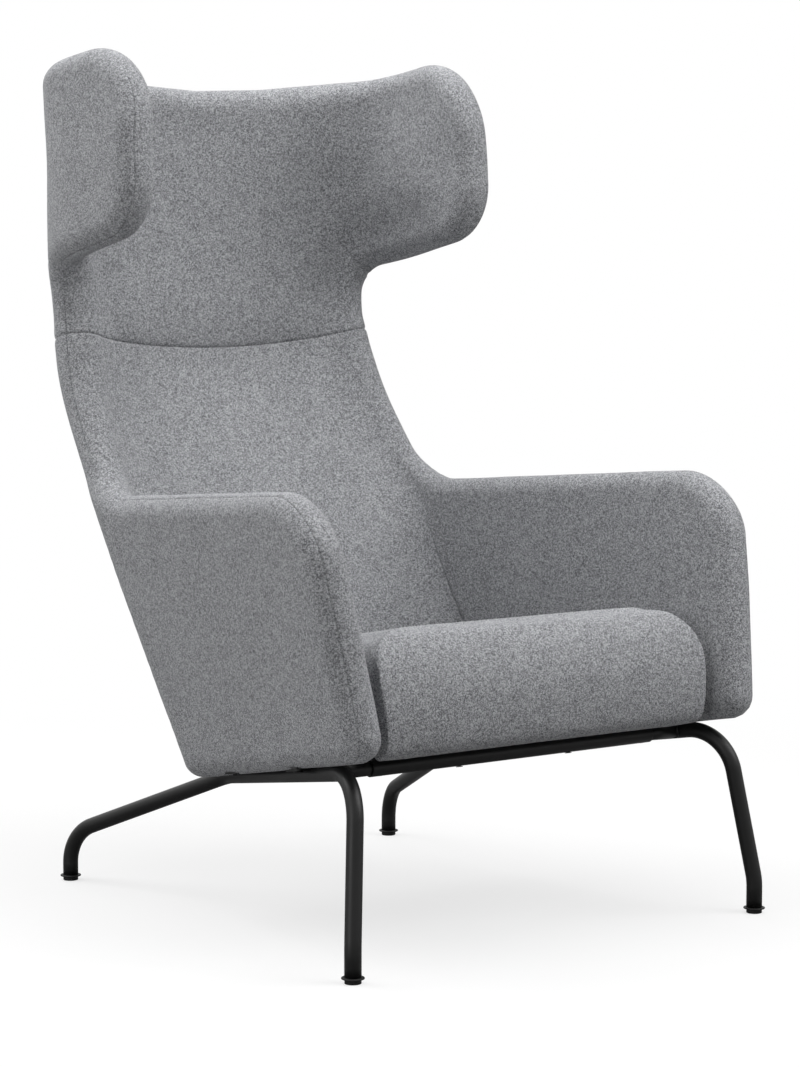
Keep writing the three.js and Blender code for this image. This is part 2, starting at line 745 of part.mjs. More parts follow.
const rightPanels = {
  back: [
    ...outline.slice(0, armSeamBottom),
    ...armSeam,
    ...outline.slice(armSeamTop + 1, headSeamEnd),
    ...[...headSeam].reverse(),
    ...centreLine(headSeamHeight, bottomCentreHeight),
  ],
  arm: [
    ...outline.slice(armSeamBottom, armSeamTop),
    ...[...armSeam].reverse().slice(0, -1),
  ],
  head: [
    ...headSeam,
    ...outline.slice(headSeamEnd + 1),
    ...centreLine(crownCentreHeight, headSeamHeight),
  ],
};

// The whole sheet: shared points, the triangles of each panel and the closed outline
const sheet = { points: [], ids: new Map(), panels: {}, loop: [] };

function sheetId(round, z) {
  const key = `${round.toFixed(2)},${z.toFixed(2)}`.replace('-0.00,', '0.00,');
  if (!sheet.ids.has(key)) {
    sheet.ids.set(key, sheet.points.length);
    sheet.points.push(new THREE.Vector2(round, z));
  }
  return sheet.ids.get(key);
}

function addPanel(name, polygon, sides) {
  const points = [...polygon, ...fillPoints(polygon)];
  const triangles = delaunay(points).filter((corners) => {
    const centre = corners.reduce((sum, i) => sum.add(points[i]), new THREE.Vector2()).divideScalar(3);
    return insidePolygon(centre, polygon);
  });
  for (const side of sides) {
    const ids = points.map((p) => sheetId(side * p.x, p.y));
    const panelName = sides.length > 1 ? name : `${side < 0 ? 'left' : 'right'}_${name}`;
    sheet.panels[panelName] ??= [];
    for (const [a, b, c] of triangles) {
      sheet.panels[panelName].push(side > 0 ? [ids[a], ids[b], ids[c]] : [ids[a], ids[c], ids[b]]);
    }
  }
}

addPanel('back', rightPanels.back, [1, -1]);
addPanel('head', rightPanels.head, [1, -1]);
addPanel('arm', rightPanels.arm, [1]);
addPanel('arm', rightPanels.arm, [-1]);
sheet.loop = [
  ...outline.map((p) => sheetId(p.x, p.y)),
  ...outline.slice(1, -1).reverse().map((p) => sheetId(-p.x, p.y)),
];
sheet.triangles = Object.values(sheet.panels).flat();

// Outward direction of the padded edge and the angle of the cover seam on it
function edgeDirection(loopIndex) {
  const count = sheet.loop.length;
  const here = sheet.points[sheet.loop[loopIndex]];
  const before = here.clone().sub(sheet.points[sheet.loop[(loopIndex + count - 1) % count]]).normalize();
  const after = sheet.points[sheet.loop[(loopIndex + 1) % count]].clone().sub(here).normalize();
  const tangent = before.add(after);
  const { across, upward, normal } = surfaceFrame(here.x, here.y);
  return across.clone().multiplyScalar(tangent.x).addScaledVector(upward, tangent.y).cross(normal).normalize();
}

function seamAngle({ x, y }) {
  const neckShare = (1 - ramp(Math.abs(x), swellAcrossStart, swellAcrossEnd))
    * ramp(y, armRootHeight, armTopHeight) * (1 - ramp(y, wingRootHeight - frameEdgeDepth, wingRootHeight));
  return THREE.MathUtils.lerp(seamAngleEdge, seamAngleNeck, neckShare);
}

const loopOutward = new Map(sheet.loop.map((id, i) => [id, edgeDirection(i)]));

// One face of the shell with its share of the padded edge, at a depth below the surface
function shellFace(triangles, side, depth, moved = new Map(), gap = seamGap, ringStep = 1) {
  const points = [];
  const ids = new Map();
  const faceTriangles = [];
  const rings = (side > 0 ? innerRings : outerRings) / ringStep;
  const vertex = (id, ring) => {
    const key = `${id},${ring}`;
    if (!ids.has(key)) {
      const place = moved.get(id) ?? sheet.points[id];
      const { centre, radius, normal } = surfaceFrame(place.x, place.y);
      const edgeAngle = seamAngle(sheet.points[id]) + (side * gap) / (2 * radius);
      const angle = THREE.MathUtils.lerp((side * Math.PI) / 2, edgeAngle, ring / rings);
      const point = centre.clone().addScaledVector(normal, (radius - depth) * Math.sin(angle));
      if (ring > 0) point.addScaledVector(loopOutward.get(id), (radius - depth) * Math.cos(angle));
      ids.set(key, points.length);
      points.push(point);
    }
    return ids.get(key);
  };
  const add = (a, b, c) => faceTriangles.push(side > 0 ? [a, b, c] : [a, c, b]);
  const edges = new Set();
  for (const corners of triangles) {
    add(...corners.map((id) => vertex(id, 0)));
    corners.forEach((id, k) => edges.add(`${id},${corners[(k + 1) % 3]}`));
  }
  sheet.loop.forEach((i, k) => {
    const j = sheet.loop[(k + 1) % sheet.loop.length];
    if (!edges.has(`${i},${j}`)) return;
    for (let ring = 0; ring < rings; ring += 1) {
      const corners = [vertex(i, ring), vertex(i, ring + 1), vertex(j, ring + 1), vertex(j, ring)];
      add(corners[0], corners[1], corners[2]);
      add(corners[0], corners[2], corners[3]);
    }
  });
  return { points, triangles: faceTriangles, lastRing: (id) => vertex(id, rings) };
}

// A skin between two faces that share their triangles
function thicken(outer, inner) {
  const offset = outer.points.length;
  const edges = new Set(outer.triangles.flatMap(([a, b, c]) => [`${a},${b}`, `${b},${c}`, `${c},${a}`]));
  const triangles = [...outer.triangles, ...inner.triangles.map(([a, b, c]) => [a + offset, c + offset, b + offset])];
  for (const edge of edges) {
    const [a, b] = edge.split(',').map(Number);
    if (!edges.has(`${b},${a}`)) {
      triangles.push([b, a, a + offset], [b, a + offset, b + offset]);
    }
  }
  return indexedGeometry([...outer.points, ...inner.points], triangles);
}

// Cover panels stop half a seam gap short of the seams they share
function movedForSeams(triangles) {
  const used = new Set(triangles.flat());
  const moved = new Map();
  const centre = [...used].reduce((sum, id) => sum.add(sheet.points[id]), new THREE.Vector2()).divideScalar(used.size);
  for (const side of [-1, 1]) {
    for (const seam of [armSeam, headSeam]) {
      const ids = seam.map((p) => sheetId(side * p.x, p.y));
      if (!ids.every((id) => used.has(id))) continue;
      ids.forEach((id, k) => {
        const here = sheet.points[id];
        const next = sheet.points[ids[Math.min(k + 1, ids.length - 1)]];
        const previous = sheet.points[ids[Math.max(k - 1, 0)]];
        const across = next.clone().sub(previous).normalize().rotateAround(new THREE.Vector2(), Math.PI / 2);
        if (here.x === 0) across.set(0, Math.sign(across.y));
        const inward = across.dot(centre.clone().sub(here)) > 0 ? 1 : -1;
        moved.set(id, here.clone().addScaledVector(across, (inward * seamGap) / 2));
      });
    }
  }
  return moved;
}

function coverGeometry(triangles, side) {
  const moved = side > 0 ? movedForSeams(triangles) : new Map();
  return thicken(
    shellFace(triangles, side, 0, moved),
    shellFace(triangles, side, fabricThickness, moved),
  );
}

// The foam fills the covers; both faces meet at the seam line of the padded edge
function foamGeometry() {
  const depth = fabricThickness + seatGap;
  const faces = [1, -1].map((side) => shellFace(sheet.triangles, side, depth, new Map(), 0, foamRingStep));
  const welded = new Map(sheet.loop.map((id) => [faces[1].lastRing(id), faces[0].lastRing(id)]));
  const offset = faces[0].points.length;
  const outerIds = (corners) => corners.map((id) => welded.get(id) ?? id + offset);
  return indexedGeometry(
    [...faces[0].points, ...faces[1].points],
    [...faces[0].triangles, ...faces[1].triangles.map(outerIds)],
  );
}

// Foam pads: a back and a head that turn the corners, with flat arms and wings joined to them
function addFoamPads(foam) {
  const up = new THREE.Vector3(0, 0, 1);
  const back = new THREE.Vector3(0, 1, 0);
  const right = new THREE.Vector3(1, 0, 0);
  const split = (body, direction, place) => [
    beyond(body, direction, place + seatGap / 2),
    beyond(body, direction.clone().negate(), seatGap / 2 - place),
  ];
  const straightFrom = (z) => backDepthAt(z) - cornerDepthAt(z);
  const [upper, lower] = split(foam, up, headSeamHeight);
  const [headPad, wings] = split(upper, back, straightFrom(wingTopHeight));
  const [backPad, arms] = split(lower, back, straightFrom(bottomCentreHeight));
  addPart(assembly, 'back_foam', backPad, paleFoam);
  addPart(assembly, 'head_foam', headPad, paleFoam);
  for (const [name, pair] of [['arm', arms], ['wing', wings]]) {
    addPart(assembly, `right_${name}_foam`, beyond(pair, right, 0), paleFoam);
    addPart(assembly, `left_${name}_foam`, beyond(pair, right.clone().negate(), 0), paleFoam);
  }
}

// Steel frame inside the shell: the outline moved inwards, on the surface between the foams
function insetCorners(corners, inset) {
  const points = corners.map(([x, z]) => new THREE.Vector2(x, z));
  const directions = points.slice(1).map((p, i) => p.clone().sub(points[i]).normalize());
  const inwardOf = (d) => new THREE.Vector2(-d.y, d.x);
  return corners.map(([x, z, radius], i) => {
    const before = directions[Math.max(i - 1, 0)];
    const after = directions[Math.min(i, directions.length - 1)];
    const bisector = inwardOf(before).add(inwardOf(after)).normalize();
    const moved = points[i].clone().addScaledVector(bisector, inset / bisector.dot(inwardOf(before)));
    const turnsLeft = before.cross(after) > 0;
    const bend = turnsLeft ? Math.max(radius - inset, frameBendRadius) : radius + inset;
    return [x === 0 ? 0 : moved.x, moved.y, radius > 0 ? bend : 0];
  });
}

const framePlan = roundedOutline(insetCorners(outlineCorners, frameEdgeDepth), frameLineStep, frameArcStep);
const corePoint = (p) => surfaceFrame(p.x, p.y).centre.clone();

function frameLoopPath(side) {
  const path = framePlan.map((p) => corePoint(new THREE.Vector2(side * p.x, p.y)));
  const butt = (end) => [(side * seatGap) / 2, side * frameRodDiameter].map((x) => end.clone().setX(x));
  return [...butt(path[0]), ...path.slice(1, -1), ...butt(path.at(-1)).reverse()];
}

// Where the frame crosses a height, going up the inside of the outline
function frameCrossing(z) {
  const k = framePlan.findIndex((p, i) => i > 0 && p.y >= z && framePlan[i - 1].y < z);
  const share = (z - framePlan[k - 1].y) / (framePlan[k].y - framePlan[k - 1].y);
  return framePlan[k - 1].clone().lerp(framePlan[k], share);
}

function crossRodPath(z) {
  const reach = frameCrossing(z).x;
  const steps = 2 * Math.ceil(reach / columnSpacing) + cornerExtraSteps;
  return Array.from({ length: steps + 1 }, (_, k) => (
    corePoint(new THREE.Vector2(THREE.MathUtils.lerp(-reach, reach, k / steps), z))));
}

const rodRadius = frameRodDiameter / 2;
const crossRodRadius = crossRodDiameter / 2;
const bossRadius = bossDiameter / 2;
const tabTop = tubeRadius - tabDrop;
const tabBottom = tabTop - tabThickness;
const bossBottom = tabTop + seatGap;

// Bosses hang from the shell frame on lines square to the side rails
function bossLine(round, side) {
  const k = framePlan.findIndex((p) => p.x >= round);
  const share = (round - framePlan[k - 1].x) / (framePlan[k].x - framePlan[k - 1].x);
  const plan = framePlan[k - 1].clone().lerp(framePlan[k], share);
  return corePoint(new THREE.Vector2(side * plan.x, plan.y)).applyMatrix4(intoRailPlane);
}

function bossRod(top, radius, sides, bottom = bossBottom, height = top.z) {
  return rodBetween(top.clone().setZ(bottom), top.clone().setZ(height), radius, sides);
}

const sideNames = [['left', -1], ['right', 1]];
const fixings = sideNames.flatMap(([sideName, side]) => [
  { name: `front_${sideName}`, side, top: bossLine(frontBossAcross, side) },
  { name: `rear_${sideName}`, side, top: bossLine(rearBossAcross, side) },
]);

const crossRods = [
  ['lumbar', armRootHeight + lumbarRodRise],
  ['neck', waistHeight - neckRodDrop],
  ['head', wingBottomHeight + headRodRise],
];

function addShell() {
  const channels = [];
  for (const [sideName, side] of sideNames) {
    const mine = fixings.filter((fixing) => fixing.side === side);
    const loop = sweep(frameLoopPath(side), rodRadius, frameRodSides);
    const bosses = mine.map(({ top }) => bossRod(top, bossRadius, boltSides).applyMatrix4(fromRailPlane));
    const bores = mine.map(({ top }) => (
      bossRod(top, bossBore / 2, boltSides, bossBottom - cutOverrun, bossBottom + boltGrip + cutOverrun)
        .applyMatrix4(fromRailPlane)));
    addPart(assembly, `${sideName}_shell_frame`, cut(join([loop, ...bosses]), bores), blackSteel);
    channels.push(sweep(frameLoopPath(side), rodRadius + channelClearance, frameRodSides));
    channels.push(...mine.map(({ top }) => (
      bossRod(top, bossRadius + channelClearance, boltSides, bossBottom - cutOverrun).applyMatrix4(fromRailPlane))));
  }
  const loops = channels.filter((_, i) => i % 3 === 0);
  for (const [name, height] of crossRods) {
    const path = crossRodPath(height);
    const rod = sweep(path, crossRodRadius, frameRodSides);
    addPart(assembly, `${name}_cross_rod`, cut(rod, loops), blackSteel);
    channels.push(sweep(path, crossRodRadius + channelClearance, frameRodSides));
  }
  addFoamPads(cut(foamGeometry(), channels));

  const bossHoles = fixings.map(({ top }) => (
    bossRod(top, bossRadius + channelClearance, boltSides, bossBottom - cutOverrun, top.z - frameEdgeDepth / 2)
      .applyMatrix4(fromRailPlane)));
  addPart(assembly, 'outer_cover', cut(coverGeometry(sheet.triangles, -1), bossHoles), felt);
  for (const [name, triangles] of Object.entries(sheet.panels)) {
    const cover = coverGeometry(triangles, 1);
    addPart(assembly, `${name}_cover`, name.endsWith('arm') ? cut(cover, bossHoles) : cover, felt);
  }
}

// Tabs welded on the side rails and the bolts that hold the shell
function boltGeometry(radius, headRadius, headHeight, length) {
  const profile = [[0, 0], [headRadius, 0], [headRadius, headHeight], [radius, headHeight], [radius, length], [0, length]];
  const lathe = new THREE.LatheGeometry(profile.map(([r, z]) => new THREE.Vector2(r, z)), boltSides);
  return lathe.rotateX(Math.PI / 2);
}

function addShellFixings() {
  for (const { name, side, top } of fixings) {
    const innerEdge = railAcross(top.y);
    const outerEdge = Math.abs(top.x) + tabEndMargin;
    const plate = new THREE.BoxGeometry(outerEdge - innerEdge, tabWidth, tabThickness);
    plate.translate((side * (outerEdge + innerEdge)) / 2, top.y, (tabBottom + tabTop) / 2);
    const hole = bossRod(top, bossBore / 2, boltSides, tabBottom - cutOverrun, tabTop + cutOverrun);
    addPart(railPlane, `${name}_tab`, cut(plate, [hole, railSpace(top.y, side)]), powderCoat);
    const headBottom = tabBottom - seatGap - boltHeadHeight;
    const length = bossBottom + boltGrip - headBottom;
    const bolt = boltGeometry(boltDiameter / 2, boltHeadDiameter / 2, boltHeadHeight, length);
    addPart(railPlane, `${name}_shell_bolt`, bolt, zincSteel).position.set(top.x, top.y, headBottom);
  }
}

// Seat deck: bar frame on the cross tubes, webbing across it and a cloth on top
const frontCrossAlong = -alongOf(frontCrossForward);
const rearCrossAlong = alongOf(rearCrossBack);
const deckFront = frontCrossAlong - deckMargin;
const deckRear = rearCrossAlong + deckMargin;
const deckBottom = tubeRadius + seatGap;
const webbingBottom = deckBottom + deckBarThickness + seatGap;
const clothBottom = webbingBottom + deckWebbingThickness + seatGap;
const cushionBottom = clothBottom + deckClothThickness + seatGap;

function trapezoidSlab(front, rear, frontHalf, rearHalf, bottom, thickness) {
  const shape = new THREE.Shape();
  shape.moveTo(-frontHalf, front).lineTo(frontHalf, front).lineTo(rearHalf, rear).lineTo(-rearHalf, rear);
  const slab = new THREE.ExtrudeGeometry(shape, { depth: thickness, bevelEnabled: false });
  return slab.translate(0, 0, bottom);
}

const deckHalfAt = (along) => THREE.MathUtils.mapLinear(along, deckFront, deckRear, deckFrontHalfWidth, deckRearHalfWidth);

function deckBolts(shankRadius, headRadius, headHeight) {
  const bolts = [];
  for (const along of [frontCrossAlong, rearCrossAlong]) {
    for (const side of [-1, 1]) {
      const headBottom = -tubeRadius - seatGap - headHeight;
      const length = deckBottom + deckBoltBite - headBottom;
      const bolt = boltGeometry(shankRadius, headRadius, headHeight, length);
      bolts.push(bolt.translate(side * deckBoltAcross, along, headBottom));
    }
  }
  return bolts;
}

function addDeck() {
  const innerFront = deckFront + deckBarWidth;
  const innerRear = deckRear - deckBarWidth;
  const slab = (front, rear, bottom, thickness) => (
    trapezoidSlab(front, rear, deckHalfAt(front), deckHalfAt(rear), bottom, thickness));
  const boltRadius = deckBoltDiameter / 2;
  const boltSpace = deckBolts(boltRadius + seatGap, boltRadius + seatGap, deckBoltHeadHeight);
  const frontBar = slab(deckFront, innerFront, deckBottom, deckBarThickness);
  addPart(railPlane, 'deck_front_bar', cut(frontBar, boltSpace), powderCoat);
  const rearBar = slab(innerRear, deckRear, deckBottom, deckBarThickness);
  addPart(railPlane, 'deck_rear_bar', cut(rearBar, boltSpace), powderCoat);
  for (const [sideName, side] of sideNames) {
    const front = innerFront + seatGap;
    const rear = innerRear - seatGap;
    const shape = new THREE.Shape([
      new THREE.Vector2(deckHalfAt(front) - deckBarWidth, front),
      new THREE.Vector2(deckHalfAt(front), front),
      new THREE.Vector2(deckHalfAt(rear), rear),
      new THREE.Vector2(deckHalfAt(rear) - deckBarWidth, rear),
    ].map((p) => p.setX(side * p.x)));
    const bar = new THREE.ExtrudeGeometry(shape, { depth: deckBarThickness, bevelEnabled: false });
    addPart(railPlane, `deck_${sideName}_bar`, bar, powderCoat).position.z = deckBottom;
  }

  const pitch = (deckRear - deckFront - deckWebbingWidth) / (deckWebbingCount - 1);
  for (let i = 0; i < deckWebbingCount; i += 1) {
    const front = deckFront + i * pitch;
    const strap = slab(front, front + deckWebbingWidth, webbingBottom, deckWebbingThickness);
    addPart(railPlane, `seat_webbing_${i + 1}`, strap, blackWebbing);
  }
  addPart(railPlane, 'seat_deck_cloth', slab(deckFront, deckRear, clothBottom, deckClothThickness), blackWebbing);
  const names = ['front_left', 'front_right', 'rear_left', 'rear_right'];
  deckBolts(boltRadius, deckBoltHeadDiameter / 2, deckBoltHeadHeight).forEach((bolt, i) => {
    addPart(railPlane, `${names[i]}_deck_bolt`, bolt, zincSteel);
  });
}

// Seat cushion: closed loops from the middle of the underside round the edge to the crown
function roundedTrapezoid(front, rear, frontHalf, rearHalf, frontRadius, rearRadius) {
  const corners = [
    [-frontHalf, front, frontRadius],
    [frontHalf, front, frontRadius],
    [rearHalf, rear, rearRadius],
    [-rearHalf, rear, rearRadius],
  ].map(([x, y, radius]) => ({ point: new THREE.Vector2(x, y), radius }));
  const arcs = corners.map(({ point, radius }, i) => {
    const toPrevious = corners[(i + 3) % 4].point.clone().sub(point).normalize();
    const toNext = corners[(i + 1) % 4].point.clone().sub(point).normalize();
    const opening = Math.acos(toPrevious.dot(toNext));
    const centre = toPrevious.clone().add(toNext).normalize()
      .multiplyScalar(radius / Math.sin(opening / 2)).add(point);
    const start = toPrevious.clone().multiplyScalar(radius / Math.tan(opening / 2)).add(point);
    return Array.from({ length: cushionCornerSteps + 1 }, (_, k) => (
      start.clone().rotateAround(centre, ((Math.PI - opening) * k) / cushionCornerSteps)));
  });
  return arcs.flatMap((arc, i) => {
    const from = arc.at(-1);
    const to = arcs[(i + 1) % 4][0];
    const steps = cushionEdgeSteps[i % 2];
    const straight = Array.from({ length: steps - 1 }, (_, k) => from.clone().lerp(to, (k + 1) / steps));
    return [...arc, ...straight];
  });
}

// The cushion fits between the inner faces of the back and the arms
function besideShell(along, above) {
  const seat = new THREE.Vector3(0, along, above).applyMatrix4(fromRailPlane);
  const { points, forward } = planCurve(seat.z);
  const k = points.findIndex((p) => p.y < seat.y);
  if (k < 0) {
    const end = points.at(-1);
    return end.x + (forward.x * (end.y - seat.y)) / -forward.y - innerHalfThickness;
  }
  const share = (points[k - 1].y - seat.y) / (points[k - 1].y - points[k].y);
  return THREE.MathUtils.lerp(points[k - 1].x, points[k].x, share) - innerHalfThickness;
}

function beforeShell(above) {
  const rear = new THREE.Vector3(0, rearCornerBack, above).applyMatrix4(fromRailPlane);
  const room = backDepthAt(rear.z) - innerHalfThickness - above * Math.sin(railSlope);
  return room / Math.cos(railSlope);
}

const cushionMiddle = (cushionBottom + cushionTopHeight) / 2;
const cushionRearReach = beforeShell(cushionTopHeight) - cushionBackClearance;
const cushionFrontHalfWidth = besideShell(-cushionFrontReach, cushionMiddle) - cushionArmClearance;
const cushionRearHalfWidth = besideShell(cushionRearReach - cushionRearRadius, cushionMiddle) - cushionCornerClearance;

const cushionLevels = cushionFrontInsetShares.length;

function cushionLoop(level) {
  const side = cushionSideInsetShares[level] * cushionEdgeDepth;
  const frontRadius = Math.max(cushionFrontRadius - side * radiusLossShare, cushionCoreRadius);
  const rearRadius = Math.max(cushionRearRadius - side * radiusLossShare, cushionCoreRadius);
  return roundedTrapezoid(
    -cushionFrontReach + cushionFrontInsetShares[level] * cushionEdgeDepth,
    cushionRearReach - cushionRearInsetShares[level] * cushionEdgeDepth,
    cushionFrontHalfWidth - side,
    cushionRearHalfWidth - side,
    frontRadius,
    rearRadius,
  );
}

const cushionHeight = (share) => cushionBottom + share * (cushionTopHeight - cushionBottom);

function cushionSurface() {
  const loops = Array.from({ length: cushionLevels }, (_, level) => cushionLoop(level));
  const widest = loops[cushionSideInsetShares.indexOf(0)];
  const count = widest.length;
  const sideShares = widest.map((p, m) => {
    const tangent = widest[(m + 1) % count].clone().sub(widest[(m + count - 1) % count]).normalize();
    return { side: tangent.y ** 2, end: tangent.x ** 2, atFront: p.y < 0 };
  });
  const points = loops.flatMap((loop, level) => loop.map((p, m) => {
    const { side, end, atFront } = sideShares[m];
    const endShares = atFront ? cushionFrontHeightShares : cushionRearHeightShares;
    return new THREE.Vector3(p.x, p.y, cushionHeight(side * cushionSideHeightShares[level] + end * endShares[level]));
  }));
  const middleOf = (loop) => (loop[0].y + loop[2 * cushionCornerSteps + cushionEdgeSteps[0] + 2].y) / 2;
  const bottomCentre = points.push(new THREE.Vector3(0, middleOf(loops[0]), cushionBottom)) - 1;
  const topCentre = points.push(new THREE.Vector3(0, middleOf(loops.at(-1)), cushionTopHeight + cushionCrown)) - 1;
  const triangles = [];
  const last = (cushionLevels - 1) * count;
  for (let m = 0; m < count; m += 1) {
    const next = (m + 1) % count;
    triangles.push([bottomCentre, next, m], [topCentre, last + m, last + next]);
    for (let level = 0; level < cushionLevels - 1; level += 1) {
      const a = level * count;
      triangles.push([a + m, a + next, a + count + next], [a + m, a + count + next, a + count + m]);
    }
  }
  return indexedGeometry(points, triangles);
}

function offsetInwards(geometry, depth) {
  const { position, normal } = geometry.attributes;
  const moved = geometry.clone();
  for (let i = 0; i < position.count; i += 1) {
    moved.attributes.position.setXYZ(
      i,
      position.getX(i) - depth * normal.getX(i),
      position.getY(i) - depth * normal.getY(i),
      position.getZ(i) - depth * normal.getZ(i),
    );
  }
  return moved;
}

function addCushion() {
  const surface = cushionSurface();
  const skin = cut(surface, [offsetInwards(surface, fabricThickness)]);
  const zipBox = (clearance) => {
    const box = new THREE.BoxGeometry(zipLength - clearance, cushionRearReach, zipWidth - clearance);
    return box.translate(0, cushionRearReach, cushionBottom + zipHeight);
  };
  addPart(railPlane, 'seat_cushion_cover', cut(skin, [zipBox(0)]), felt);
  addPart(railPlane, 'seat_cushion_zip', common(skin, zipBox(2 * seatGap)), blackWebbing);
  addPart(railPlane, 'seat_cushion_foam', offsetInwards(surface, fabricThickness + seatGap), paleFoam);
}

addSideFrames();
addCrossTube('front', frontCrossAlong);
addCrossTube('rear', rearCrossAlong);
addGlides();
addShellFixings();
addShell();
addDeck();
addCushion();

// The origin is on the floor under the middle of the chair
const bounds = new THREE.Box3().setFromObject(chair);
assembly.position.y = -bounds.getCenter(new THREE.Vector3()).y;

export default chair;
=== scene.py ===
"""Looks of an acoustic high back lounge chair: a felt-covered winged shell on a bent tube base.

Lengths are in millimetres while a shape is worked out and become metres when its mesh is made.
Shell shapes are drawn on the developed mid surface, as distance round the chair and height.
"""

import json
import math

import bpy
import numpy as np
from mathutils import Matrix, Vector, kdtree
from mathutils.geometry import delaunay_2d_cdt


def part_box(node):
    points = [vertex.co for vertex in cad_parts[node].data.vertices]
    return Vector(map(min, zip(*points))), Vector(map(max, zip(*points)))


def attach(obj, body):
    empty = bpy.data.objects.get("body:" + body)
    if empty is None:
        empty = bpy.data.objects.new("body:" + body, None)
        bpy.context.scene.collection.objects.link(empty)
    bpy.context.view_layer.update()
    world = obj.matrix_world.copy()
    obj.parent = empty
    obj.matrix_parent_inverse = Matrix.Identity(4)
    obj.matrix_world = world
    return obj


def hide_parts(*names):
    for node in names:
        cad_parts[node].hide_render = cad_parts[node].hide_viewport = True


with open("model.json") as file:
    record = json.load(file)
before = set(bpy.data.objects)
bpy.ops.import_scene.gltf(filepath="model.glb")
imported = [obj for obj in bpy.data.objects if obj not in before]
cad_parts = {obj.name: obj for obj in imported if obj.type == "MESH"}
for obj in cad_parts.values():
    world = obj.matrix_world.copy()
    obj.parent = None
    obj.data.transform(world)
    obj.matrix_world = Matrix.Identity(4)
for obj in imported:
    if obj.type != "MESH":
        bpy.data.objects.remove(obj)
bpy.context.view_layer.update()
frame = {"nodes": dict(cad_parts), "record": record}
MM = 0.001

# Side frames of the base
TUBE_DIAMETER = 21.0
FRONT_FOOT = (330.0, -330.0)
FRONT_KINK_HEIGHT = 44.0
FRONT_CORNER = (303.0, -300.0, 247.5)
REAR_CORNER = (190.0, 142.5, 173.0)
REAR_FOOT = (278.0, 405.0)
REAR_LEG_HEIGHT = 65.5
LEG_BEND_RADIUS = 60.0
KINK_BEND_RADIUS = 90.0
TUBE_END_HEIGHT = 8.0
TUBE_SIDES = 40
BEND_STEP = math.radians(4)

# Cross tubes, stubs, welds and glides
FRONT_CROSS_Y = -229.0
REAR_CROSS_Y = 95.0
CROSS_WALL = 1.5
CROSS_SHOULDER = 54.0
STUB_GAP = 0.3
STUB_INSERTION = 30.0
TUBE_LIP = 0.8
WELD_RADIUS = 1.5
WELD_RIPPLE_SHARE = 0.12
WELD_RIPPLES = 16
WELD_POINTS = 48
WELD_SIDES = 10
FLANGE_DIAMETER = 28.6
PUCK_DIAMETER = 20.6
FLANGE_THICKNESS = 2.0
GLIDE_EDGE_SHARE = 0.42
GLIDE_SIDES = 56
EDGE_STEPS = 5

# Tabs, and bolts as diameter and height of the head, then diameter and top of the shank
TAB_DROP = 2.0
TAB_THICKNESS = 2.6
TAB_WIDTH = 28.0
TAB_END_MARGIN = 13.0
TAB_TUBE_REACH = 9.6
TAB_CORNER_RADIUS = 8.0
TAB_CORNER_STEP = math.radians(15)
SHELL_BOLT = (12.0, 2.2, 6.0, 28.8)
DECK_BOLT = (9.0, 0.8, 5.0, 16.8)
DECK_BOLT_ACROSS = 90.0
BOLT_EDGE_SHARE = 0.45
BOLT_SIDES = 32

# Mid surface of the shell
SURFACE_TOP = 1110.0
BACK_REACH = 496.0
HALF_WIDTH = 282.5
CORNER_DEPTH = 170.0
BACK_HEIGHT_SHARES = (0.162, 0.333, 0.505, 0.613, 0.694, 1)
BACK_REACH_SHARES = (0.3185, 0.54, 0.788, 0.936, 0.989, 0.995)
WIDTH_HEIGHT_SHARES = (0.162, 0.378, 0.577, 0.775, 1)
WIDTH_SHARES = (0.875, 0.936, 0.989, 1, 1)
CORNER_HEIGHT_SHARES = (0.162, 0.505, 0.703, 1)
CORNER_DEPTH_SHARES = (0.441, 0.606, 1, 0.812)
ARM_FLARE = math.radians(6.35)
WING_FLARE = math.radians(0.6)
FLARE_HEIGHTS = (560.0, 900.0)
TOP_FLARE = math.radians(-2.9)
TOP_FLARE_HEIGHTS = (1000.0, 1095.0)
BACK_HANDLE_SHARE = 0.56
CORNER_HANDLE_SHARE = 0.92
TABLE_STEP = 3.0
TABLE_REACH = 960.0
TABLE_HEIGHTS = (120.0, 1200.0)
TABLE_MARGIN = 1.001
CURVE_POINTS = 900

# Thickness of the upholstery, which swells behind the neck
INNER_HALF = 27.0
OUTER_HALF = 27.0
NECK_SWELL = 14.0
SWELL_ACROSS = (215.0, 300.0)
SWELL_HEIGHTS = (540.0, 730.0)
SWELL_FADE = 0.5
SWELL_FADE_HEIGHTS = (860.0, 1000.0)
FELT = 1.6

# Centre line of the padded edge: distance round, height and bend radius, right half
OUTLINE = (
    (0, 213, 0),
    (235, 203, 120),
    (743, 287, 7),
    (811, 430, 500),
    (867, 558, 40),
    (272, 515, 72),
    (229, 780, 190),
    (235, 870, 76),
    (496, 923, 56),
    (490, 1015, 250),
    (486, 1121, 80),
    (400, 1116, 150),
    (322, 1106, 200),
    (210, 1090, 200),
    (110, 1080, 200),
    (0, 1075, 0),
)
OUTLINE_STEP = 7.0
OUTLINE_BEND_STEP = math.radians(3)
NECK_REACH = 300.0
SURFACE_STEP = 11.0
SHEET_MARGIN = 6.0
BLOCK = 2000
FAR = 1e9
TINY = 1e-9
MERGE_GAP = 1e-6
RING_STARTS = (0, 0.8, 1.8, 3.2, 5.2, 8.0)
INNER_RINGS = 10
OUTER_RINGS = 6

